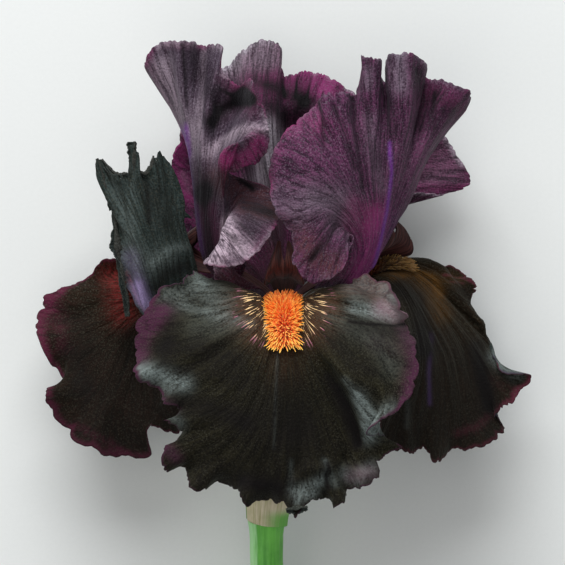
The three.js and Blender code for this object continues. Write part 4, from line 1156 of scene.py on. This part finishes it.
def margin_cut(name, u, w, seed):
    """How far a petal's margin is cut back, in mm: scallops, with small nicks in them."""
    scallops, depth, _ = TRIM[name]
    phase = math.pi * (scallops * u + 1.4 * noise(u * 11, 0 * u, seed))
    notch = (1 - np.abs(np.sin(phase))) ** 1.6 * (0.55 + 0.45 * noise(u * 17, 0 * u, seed + 1))
    nick = 0.9 * (1 - np.abs(noise(u * 75, 0 * u, seed + 2))) ** 4
    nick = nick + 0.5 * (1 - np.abs(noise(u * 160, 0 * u, seed + 7))) ** 3
    return depth * (notch + nick) * smooth((w - 0.84) / 0.16)


def swing(name, u, v, w, seed):
    """How far a petal stands off its ribs' surface, in mm: flutes, crimps, puckers and ridges."""
    waves, height, phase = PETALS[name]["ruffles"]
    scallops, _, crimp = TRIM[name]
    flute = height * smooth((v - 0.6) / 0.4) * np.sin(2 * math.pi * waves * u + phase)
    wrinkle = crimp * smooth((w - 0.76) / 0.24) * noise(u * scallops * 1.3, w * 3, seed + 3)
    stray = 2 * noise(u * 9, w * 5, seed + 5)
    pucker = 0.3 * smooth((w - 0.3) / 0.3) * noise(u * 60 + stray, w * 7, seed + 4)
    ridges = 0.07 * noise(u * 230, w * 9, seed + 6)
    return flute + wrinkle + pucker + ridges


def petal(name, seed):
    """A petal's skin with its masks and its material."""
    u, v = axes_grid(*PETAL_GRID)
    w = far_out(name, v)
    slope = np.linalg.norm(spot(name, u, 0 * v + 1) - spot(name, u, 0 * v + 0.9), axis=-1) / 0.1
    grid = spot(name, u, v - margin_cut(name, u, w, seed) / slope)
    n = normals_of(grid)
    x, y = grid[..., 0], grid[..., 1]
    press = along(name, "press", u, x, y) * np.clip(3 * n[..., 2], -1, 1)
    grid = grid + n * (swing(name, u, v, w, seed) - press)[..., None]
    depth = SKIN + (EDGE - SKIN) * smooth((w - 0.7) / 0.3)
    layers = [t + along(name, layer, u, x, y) for layer, t in zip(LAYERS, TONES[name](u, w))]
    margin, pale_and_highlight, *tone = [np.clip(t, 0, 1) for t in layers]
    marks = beside_beard(x, y) if name == "fall_front" else 0 * u
    piece = sheet(f"{name}_skin", grid, depth, name, np.stack([margin, pale_and_highlight, marks], -1))
    tone = np.stack([*tone, 1 + 0 * u], -1).reshape(-1, 4)
    write_ink(piece.data, np.concatenate([tone, tone]), "tone")
    piece.data.materials.append(petal_material(f"{name}_skin", LOOKS[name]))


for seed, name in enumerate(PETALS):
    petal(name, 10 * seed + 1)


# ---- Beards ----
DOME_GRID = (20, 26)
GOLDEN = 0.618034  # each hair's step across the beard, which spreads them evenly
HAIR_SIDES = 5
HAIR_TAPER = [1.0, 0.95, 0.9, 0.78, 0.45]


def hair_mesh(roots, aims, bends, lengths, radii):
    """Tapering, bent hairs with rounded tips, as points and faces."""
    sides, steps = HAIR_SIDES, len(HAIR_TAPER) - 1
    points, faces = [], []
    for root, aim, bend, length, radius in zip(roots, aims, bends, lengths, radii):
        side = unit(np.cross(aim, [0.3, 0.5, 0.8]))
        other = np.cross(aim, side)
        first = len(points)
        for i in range(steps + 1):
            s = i / steps
            centre = root + aim * length * s + bend * length * s * s
            for j in range(sides):
                a = 2 * math.pi * j / sides
                points.append(centre + (side * math.cos(a) + other * math.sin(a)) * radius * HAIR_TAPER[i])
        tip = len(points)
        points.append(root + aim * length * 1.06 + bend * length)
        points.append(root)
        for j in range(sides):
            k = (j + 1) % sides
            faces.append((first + j, first + k, tip + 1))
            faces.append((first + steps * sides + k, first + steps * sides + j, tip))
            for i in range(steps):
                a, b = first + i * sides + j, first + i * sides + k
                faces.append((a, a + sides, b + sides, b))
    return points, faces


def beard(name, hairs, skin, seed):
    """A dome of hairs along a fall, which lean outwards towards its end."""
    spec = BEARDS[name]
    middle, start, end, wide = spec["middle"], spec["from"], spec["to"], spec["wide"]
    step = 0.01

    def axes(u, v):
        across = unit(spot(name, u + step, v) - spot(name, u - step, v))
        out = unit(spot(name, u, v + step) - spot(name, u, v - step))
        return across, out, unit(np.cross(out, across))

    def at(a, b, rise):
        v = start + (end - start) * b
        taper = (0.72 + 0.28 * smooth(b / 0.3)) * (1 - 0.35 * smooth((b - 0.6) / 0.4))
        u = middle + a * taper * (wide[0] + (wide[1] - wide[0]) * b)
        return spot(name, u, v) + axes(u, v)[2] * (SKIN / 2 + rise)[..., None]

    def dome(a, b):
        return (1 - a * a) * blunt(b)

    a, b = axes_grid(*DOME_GRID)
    a = 2 * a - 1
    under, over = at(a, b, 0.02 + 0 * a), at(a, b, 0.15 + BEARD_DOME * dome(a, b))
    core = np.concatenate([under.reshape(-1, 3), over.reshape(-1, 3)])
    core_faces = grid_faces(*DOME_GRID)
    b = (np.arange(hairs) + 0.5) / hairs
    a = 2 * ((np.arange(hairs) * GOLDEN) % 1) - 1
    a = 0.97 * np.sign(a) * np.abs(a) ** 0.8
    wobble = [hashed(np.arange(hairs), 0, seed + k) for k in range(4)]
    across, out, up = axes(middle + 0 * b, start + (end - start) * b)
    roots = at(a, b, 0.1 + 0.8 * BEARD_DOME * dome(a, b))
    aims = up * (1 - 0.35 * b)[:, None] + across * (0.85 * a + 0.22 * wobble[0])[:, None]
    aims = unit(aims + out * (1.25 * b**1.5 - 0.15 + 0.22 * wobble[1])[:, None])
    lengths = HAIR * (0.72 + 0.16 * wobble[2] + 0.3 * b) * spec["long"]
    bends = out * (0.12 + 0.1 * wobble[3])[:, None] - up * (0.1 * b)[:, None]
    points, faces = hair_mesh(roots, aims, bends, lengths, HAIR_R * (1 + 0.2 * wobble[3]))
    shift = len(core)
    faces = core_faces + shifted(faces, shift)
    node = name.replace("fall", "beard")
    piece = new_object(f"{node}_hairs", np.concatenate([core, np.array(points)]), faces, node)
    per_hair = len(points) // hairs
    rings = np.repeat(np.linspace(0, 1, len(HAIR_TAPER)), HAIR_SIDES)
    rise = np.tile(np.concatenate([rings, [1, 0]]), hairs)
    spread = np.repeat(b, per_hair)
    tint = np.repeat(0.5 + 0.5 * wobble[0], per_hair)
    ink = np.column_stack([rise, spread, tint, np.ones(len(rise))])
    bare = np.tile([0.0, 0.4, 0.5, 1.0], (shift, 1))  # the same masks for the dome
    write_ink(piece.data, np.concatenate([bare, ink]))
    piece.data.materials.append(skin)


EMBER = (0.75, 0.12, 0.03)  # deep in the throat, on every beard


def beard_material(name, base, tip, root):
    """Hair that goes from its root's colour to its base's and, towards a beard's end, its tip's."""
    m = Material(name)
    rise, spread, tint, _ = m.ink("ink")
    grain = m.noise(m.place(1800), 2.0, 0.6)
    colour = m.mix(root, base, m.span(rise, 0.0, 0.35))
    tipped = m.span(m.plus(spread, tint), 0.55, 1.35)
    colour = m.mix(colour, tip, m.times(m.span(rise, 0.45, 1.0), tipped))
    colour = m.mix(colour, EMBER, m.times(m.span(spread, 0.5, 0.0), 0.6))
    colour = m.mix(colour, tip, m.times(grain, 0.2))
    m.shader(Base_Color=colour, Roughness=0.6, Specular_IOR_Level=0.2)
    m.shader(Sheen_Weight=0.12, Sheen_Roughness=0.5)
    m.shader(Subsurface_Weight=0.15, Subsurface_Radius=(1.0, 0.4, 0.1), Subsurface_Scale=0.0008)
    m.bump(grain, 0.0002, 0.4)
    return m.material


orange = beard_material("beard_orange", (1.0, 0.22, 0.02), (1.0, 0.55, 0.1), (0.6, 0.06, 0.01))
# The side falls' beards: the same orange hair darkened, which is painted shade.
shaded_beard = beard_material("beard_painted_shade", (0.08, 0.035, 0.01), (0.27, 0.15, 0.045), (0.02, 0.007, 0.004))
beard("fall_front", 720, orange, 101)
beard("fall_right", 420, shaded_beard, 202)
beard("fall_left", 340, shaded_beard, 303)


# ---- Rolled margins ----
# A torn edge that rolls up along a line, x, y and z in mm from the throat: the line and how wide
# the roll is at its points.
ROLLS = {
    "fall_left": [
        ([(-56.1, 42.4, 4.4), (-54.6, 37.5, 5), (-53, 32, 5.5), (-51.4, 27, 5)], [0.4, 0.7, 0.7, 0.8]),
        ([(-51.4, 28, 5), (-50.6, 22, 4.8), (-50.4, 16, 5), (-49.6, 12, 5.2)], [0.5, 0.8, 2.1, 0.7]),
        ([(-49.6, 13, 5.2), (-48.6, 7, 4.6), (-47.6, 1, 2.6), (-46.8, -5, 1)], [0.7, 1, 1.1, 0.7]),
        ([(-54.6, 42, 4.8), (-52.4, 39, 6.5), (-50, 37.4, 8), (-47, 37.8, 9.2)], [0.5, 0.9, 1, 0.5]),
        ([(-45.5, 47.4, 9), (-45.3, 43, 9.2), (-44.9, 38, 8.8)], [1.4, 1.4, 0.6]),
        ([(-43.8, 38.6, 8.6), (-41.5, 37.6, 8), (-39.8, 39.6, 6.6), (-38.9, 43, 4.9)], [0.5, 0.9, 1, 0.7]),
    ],
    "fall_front": [
        ([(0.6, -62.6, 45.8), (3.6, -62.4, 46.4), (7, -61.8, 45.8)], [0.6, 1.2, 0.6]),
    ],
}
ROLL_GRID = (90, 16)
ROLL_TURN = 4.6  # how far round itself a roll goes, in radians
ROLL_THICK = 0.3
ROLL_PALE = 0.25  # how much of its petal's pale colour, with its painted sheen, it has


def roll(petal_name, number, line, wide, seed):
    """A thin sheet rolled up round a line."""
    line = np.array(line, float)
    last = len(line) - 1
    u, v = axes_grid(*ROLL_GRID)
    centre = between(lambda i: line[i], last, u)
    ahead = unit(np.gradient(centre, axis=0))
    side = unit(np.cross(ahead, [0, 0, 1]))
    other = np.cross(ahead, side)
    angle = ROLL_TURN * v + 0.6 * noise(u * 4, 0 * v, seed)
    r = np.interp(u, np.linspace(0, 1, last + 1), wide) * (1 - 0.3 * v)
    r = r * (1 + 0.25 * noise(u * 11, v * 2, seed + 1) + 0.12 * noise(u * 37, v * 3, seed + 2))
    grid = centre + side * (np.cos(angle) * r)[..., None] + other * (np.sin(angle) * r)[..., None]
    ink = np.stack([0 * u, ROLL_PALE + 0 * u, 0 * u], -1)
    name = f"{petal_name}_roll_{number}"
    piece = sheet(name, grid, ROLL_THICK + 0 * u, petal_name, ink)
    piece.data.materials.append(bpy.data.materials[f"{petal_name}_skin"])


for petal_name, rolls in ROLLS.items():
    for number, (line, wide) in enumerate(rolls):
        roll(petal_name, number, line, wide, 700 + 10 * number)


# ---- Style, stamens, ovary, bracts and stem ----
def plant_material(name, deep, light, streaks, rough, coat=0.0, over=None):
    """Streaked plant skin. A colour over it shows where the vertices' first mask says so."""
    m = Material(name)
    lines = m.noise(m.uv(streaks, 2.5), 4.0, 0.6)
    patch = m.noise(m.place(160), 3.0, 0.5)
    grain = m.noise(m.place(2200), 2.0, 0.6)
    share = m.plus(m.times(lines, 0.6), m.times(patch, 0.4))
    colour = m.mix(deep, light, m.span(share, 0.32, 0.66))
    if over:
        colour = m.mix(colour, over, m.times(m.ink("ink")[0], m.span(lines, 0.2, 0.5)))
    m.shader(Base_Color=colour, Roughness=m.plus(rough, m.times(patch, 0.15)))
    m.shader(Coat_Weight=coat, Coat_Roughness=0.35, Specular_IOR_Level=0.4)
    m.bump(m.plus(m.times(lines, 0.7), m.times(grain, 0.3)), 0.0005, 0.4)
    return m.material


STYLE_GRID = (60, 90)
ARM_THICK = 0.5


def arm_fall(side, droop):
    """How far an arm's cross-section falls away on both sides of its ridge."""
    outside = np.clip(np.abs(side) - 0.3, 0, 1) / 0.7
    inside = np.clip(1 - np.abs(side) / 0.3, 0, 1)
    return droop * outside**2 + 0.15 * droop * inside


def arm(name, seed):
    """The middle surface of a style arm, whose end is slit into two crests."""
    u, v = axes_grid(*STYLE_GRID)
    side = 2 * u - 1
    slit = 0.2 * np.exp(-((side / 0.2) ** 2))
    phi, shape = PHI[name], ARMS[name]
    stations = []
    for r, t, half, droop, turn in ARM:
        twist = shape["twist"] * turn
        across = around(phi) * math.cos(twist) + radial(phi) * math.sin(twist)
        width = half * (1 + (shape["crest"] - 1) * turn)
        flat = UP * (t * shape["lift"] - arm_fall(side, droop))[..., None]
        flat = flat + radial(phi) * (r * shape["reach"])
        stations.append(flat + across * (width * side)[..., None])
    stations = np.array(stations)
    columns, rows = np.indices(u.shape)
    ragged = 0.01 * noise(u * 26, 0 * u, seed) * smooth((v - 0.8) / 0.2)
    grid = between(lambda i: stations[i, columns, rows], len(ARM) - 1, v * (1 - slit) - ragged)
    n = normals_of(grid)
    grid = grid + n * (0.35 * smooth((v - 0.6) / 0.4) * noise(u * 9, v * 5, seed + 1))[..., None]
    return grid


def column_radius(s, a):
    return 2 - 0.6 * s + 0.08 * np.cos(3 * a)


def style():
    """The style's three arms as one piece, and its column."""
    points, faces = [], []
    for seed, name in enumerate(ARMS):
        faces += shifted(grid_faces(*STYLE_GRID), sum(len(p) for p in points))
        points.append(two_sides(arm(name, 400 + seed), ARM_THICK / 2))
    piece = new_object("style_arms", np.concatenate(points), faces, "style")
    write_uv(piece.data, np.concatenate([sheet_coords(*STYLE_GRID)] * len(ARMS)))
    m = Material("style_skin")
    lines = m.noise(m.uv(30, 3), 4.0, 0.6)
    grain = m.noise(m.place(2200), 2.0, 0.6)
    colour = m.mix((0.02, 0.005, 0.005), (0.1, 0.03, 0.025), m.span(lines, 0.38, 0.66))
    m.shader(Base_Color=colour, Roughness=0.5, Sheen_Weight=0.05, Specular_IOR_Level=0.18)
    m.bump(m.plus(m.times(lines, 0.7), m.times(grain, 0.3)), 0.0005, 0.5)
    piece.data.materials.append(m.material)
    line = [place(0, 0, t) for t in (TUBE_TOP, -4, 1.5)]
    column = sweep("style_column", line, 20, 32, column_radius, "style")
    column.data.materials.append(m.material)


style()


def filament_radius(s, a):
    return 0.5 - 0.15 * s + 0 * a


def anther_radius(s, a):
    groove = 1 - 0.25 * np.exp(-((np.sin(a) / 0.3) ** 2))
    return (0.2 + 0.85 * blunt(s)) * groove


pollen = plant_material("stamen_skin", (0.42, 0.36, 0.26), (0.72, 0.66, 0.5), 12, 0.6)
for which in ("front", "right", "left"):
    phi = PHI[f"fall_{which}"]
    line = [place(phi, r, t) for r, t in ((3.1, TUBE_TOP), (4.6, -2), (7.5, 1.4), (10, 2.8))]
    filament = sweep(f"filament_{which}", line, 30, 16, filament_radius, f"stamen_{which}")
    line = [place(phi, r, t) for r, t in ((8.8, 2.3), (11.5, 3.6), (14.2, 4.6))]
    anther = sweep(f"anther_{which}", line, 30, 28, anther_radius, f"stamen_{which}")
    for piece in (filament, anther):
        piece.data.materials.append(pollen)


def ovary_radius(s, a):
    belly = np.exp(-(((s - 0.72) / 0.22) ** 2))
    rib = 0.35 * belly * np.cos(3 * a)
    return TUBE_R - 2.4 * smooth(s / 0.25) + 2 * belly + rib - 0.8 * smooth((s - 0.85) / 0.15)


ovary = sweep("ovary_skin", OVARY, 90, 72, ovary_radius, "ovary")
dark_green = plant_material("ovary_skin", (0.035, 0.1, 0.02), (0.16, 0.3, 0.07), 26, 0.4, 0.2)
ovary.data.materials.append(dark_green)


def stem_radius(s, a):
    node = 0.55 * np.exp(-((s / 0.06) ** 2))
    fine = 0.05 * np.sin(17 * a) + 0.04 * noise(s * 30, a * 3, 5)
    return STEM_R + node - 0.55 * s + 0.1 * np.cos(2 * a) + fine


stem = sweep("stem_skin", STEM, 160, 120, stem_radius, "stem")
leftward = -np.array([vertex.normal.x for vertex in stem.data.vertices])
lit_side = smooth((leftward - 0.3) / 0.5)  # a painted highlight down the side that faces left
write_ink(stem.data, np.column_stack([lit_side, lit_side, lit_side, np.ones(len(lit_side))]))
# The stem's green, and the paler green of its painted highlight.
fresh, stem_highlight = (0.16, 0.54, 0.07), (0.36, 0.68, 0.3)
green = plant_material("stem_skin", (0.07, 0.32, 0.03), fresh, 24, 0.42, 0.15, stem_highlight)
stem.data.materials.append(green)


BRACT_GRID = (110, 80)
BRACT_THICK = 0.4
BRACT_EDGE = 0.2


def bract(name, spec, seed, material):
    """A leaf wrapped round the ovary, with a green patch at its foot where its material asks."""
    u, v = axes_grid(*BRACT_GRID)
    side = 2 * u - 1
    line = np.array(OVARY[::-1], float)
    angle = spec["phi"] + math.radians(spec["spread"]) * side * (1 - 0.6 * v * v)
    share = spec["from"] + spec["slant"] * side * (1 - v)
    share = share + (spec["to"] - spec["from"]) * v * (1 - 0.3 * v * side * side)
    r = spec["radius"] + 1.4 * np.sin(math.pi * np.minimum(v, 0.5)) - 1.5 * v**4
    low = np.minimum(share, 0)
    centre = between(lambda i: line[i], len(line) - 1, share - low) + UP * (low * OVARY_LENGTH)[..., None]
    out = FRONT * np.cos(angle)[..., None] + RIGHT * np.sin(angle)[..., None]
    fold = 0.12 * noise(u * 40, v * 2, seed) + 0.2 * smooth(v) * noise(u * 7, v * 3, seed + 1)
    grid = centre + out * (r + fold)[..., None]
    depth = BRACT_THICK + (BRACT_EDGE - BRACT_THICK) * smooth((v - 0.6) / 0.4)
    green = smooth((u - 0.3) / 0.4) * smooth((0.17 - v) / 0.1)
    piece = sheet(f"{name}_skin", grid, depth, name, np.stack([green, green, green], -1))
    piece.data.materials.append(material)


dry, still_green = (0.7, 0.6, 0.44), (0.13, 0.42, 0.06)
papery = plant_material("papery_skin", (0.36, 0.33, 0.16), dry, 34, 0.6, 0.0, still_green)
leafy = plant_material("leafy_skin", (0.13, 0.27, 0.07), (0.42, 0.5, 0.24), 34, 0.5)
bract("spathe_outer", OUTER, 61, papery)
bract("spathe_inner", INNER, 67, leafy)

# ---- Surface, camera and light ----
FLOOR_WIDE = 6
bpy.ops.mesh.primitive_plane_add(size=FLOOR_WIDE, location=(0, 0, 0))
floor = bpy.context.object
floor.name = "floor"
paper = Material("floor_paper")
tooth = paper.noise(paper.place(900), 3.0, 0.6)
paper.shader(Base_Color=paper.mix((0.7, 0.7, 0.68), (0.74, 0.74, 0.72), tooth), Roughness=0.85)
floor.data.materials.append(paper.material)

CAMERA_FAR = 6.0
SENSOR = 36
SEEN_WIDE = 0.1695  # across the picture, at the throat's height
AIM = (THROAT + np.array([-0.45, 5.25, 0])) * MM
camera = bpy.data.objects.new("camera", bpy.data.cameras.new("camera"))
camera.location = (AIM[0], AIM[1], AIM[2] + CAMERA_FAR)
camera.data.sensor_width = SENSOR
camera.data.lens = SENSOR * CAMERA_FAR / SEEN_WIDE
camera.data.clip_end = 20
bpy.context.scene.collection.objects.link(camera)
bpy.context.scene.camera = camera


def lamp(name, place_mm, watts, size, colour):
    """A square light that faces the throat."""
    light = bpy.data.lights.new(name, "AREA")
    light.energy = watts
    light.size = size
    light.color = colour
    holder = bpy.data.objects.new(name, light)
    holder.location = Vector(metres(np.array(place_mm, float)))
    aim = Vector(THROAT * MM) - holder.location
    holder.rotation_euler = aim.to_track_quat("-Z", "Y").to_euler()
    bpy.context.scene.collection.objects.link(holder)


lamp("sky", (-150, 900, 700), 17, 0.9, (0.95, 0.98, 1))
lamp("front", (-300, -200, 1200), 4, 1.0, (1, 0.98, 0.95))
world = bpy.data.worlds.new("studio")
world.use_nodes = True
background = world.node_tree.nodes["Background"]
background.inputs["Color"].default_value = (0.9, 0.95, 1, 1)
background.inputs["Strength"].default_value = 0.35
bpy.context.scene.world = world
bpy.context.scene.view_settings.view_transform = "Standard"
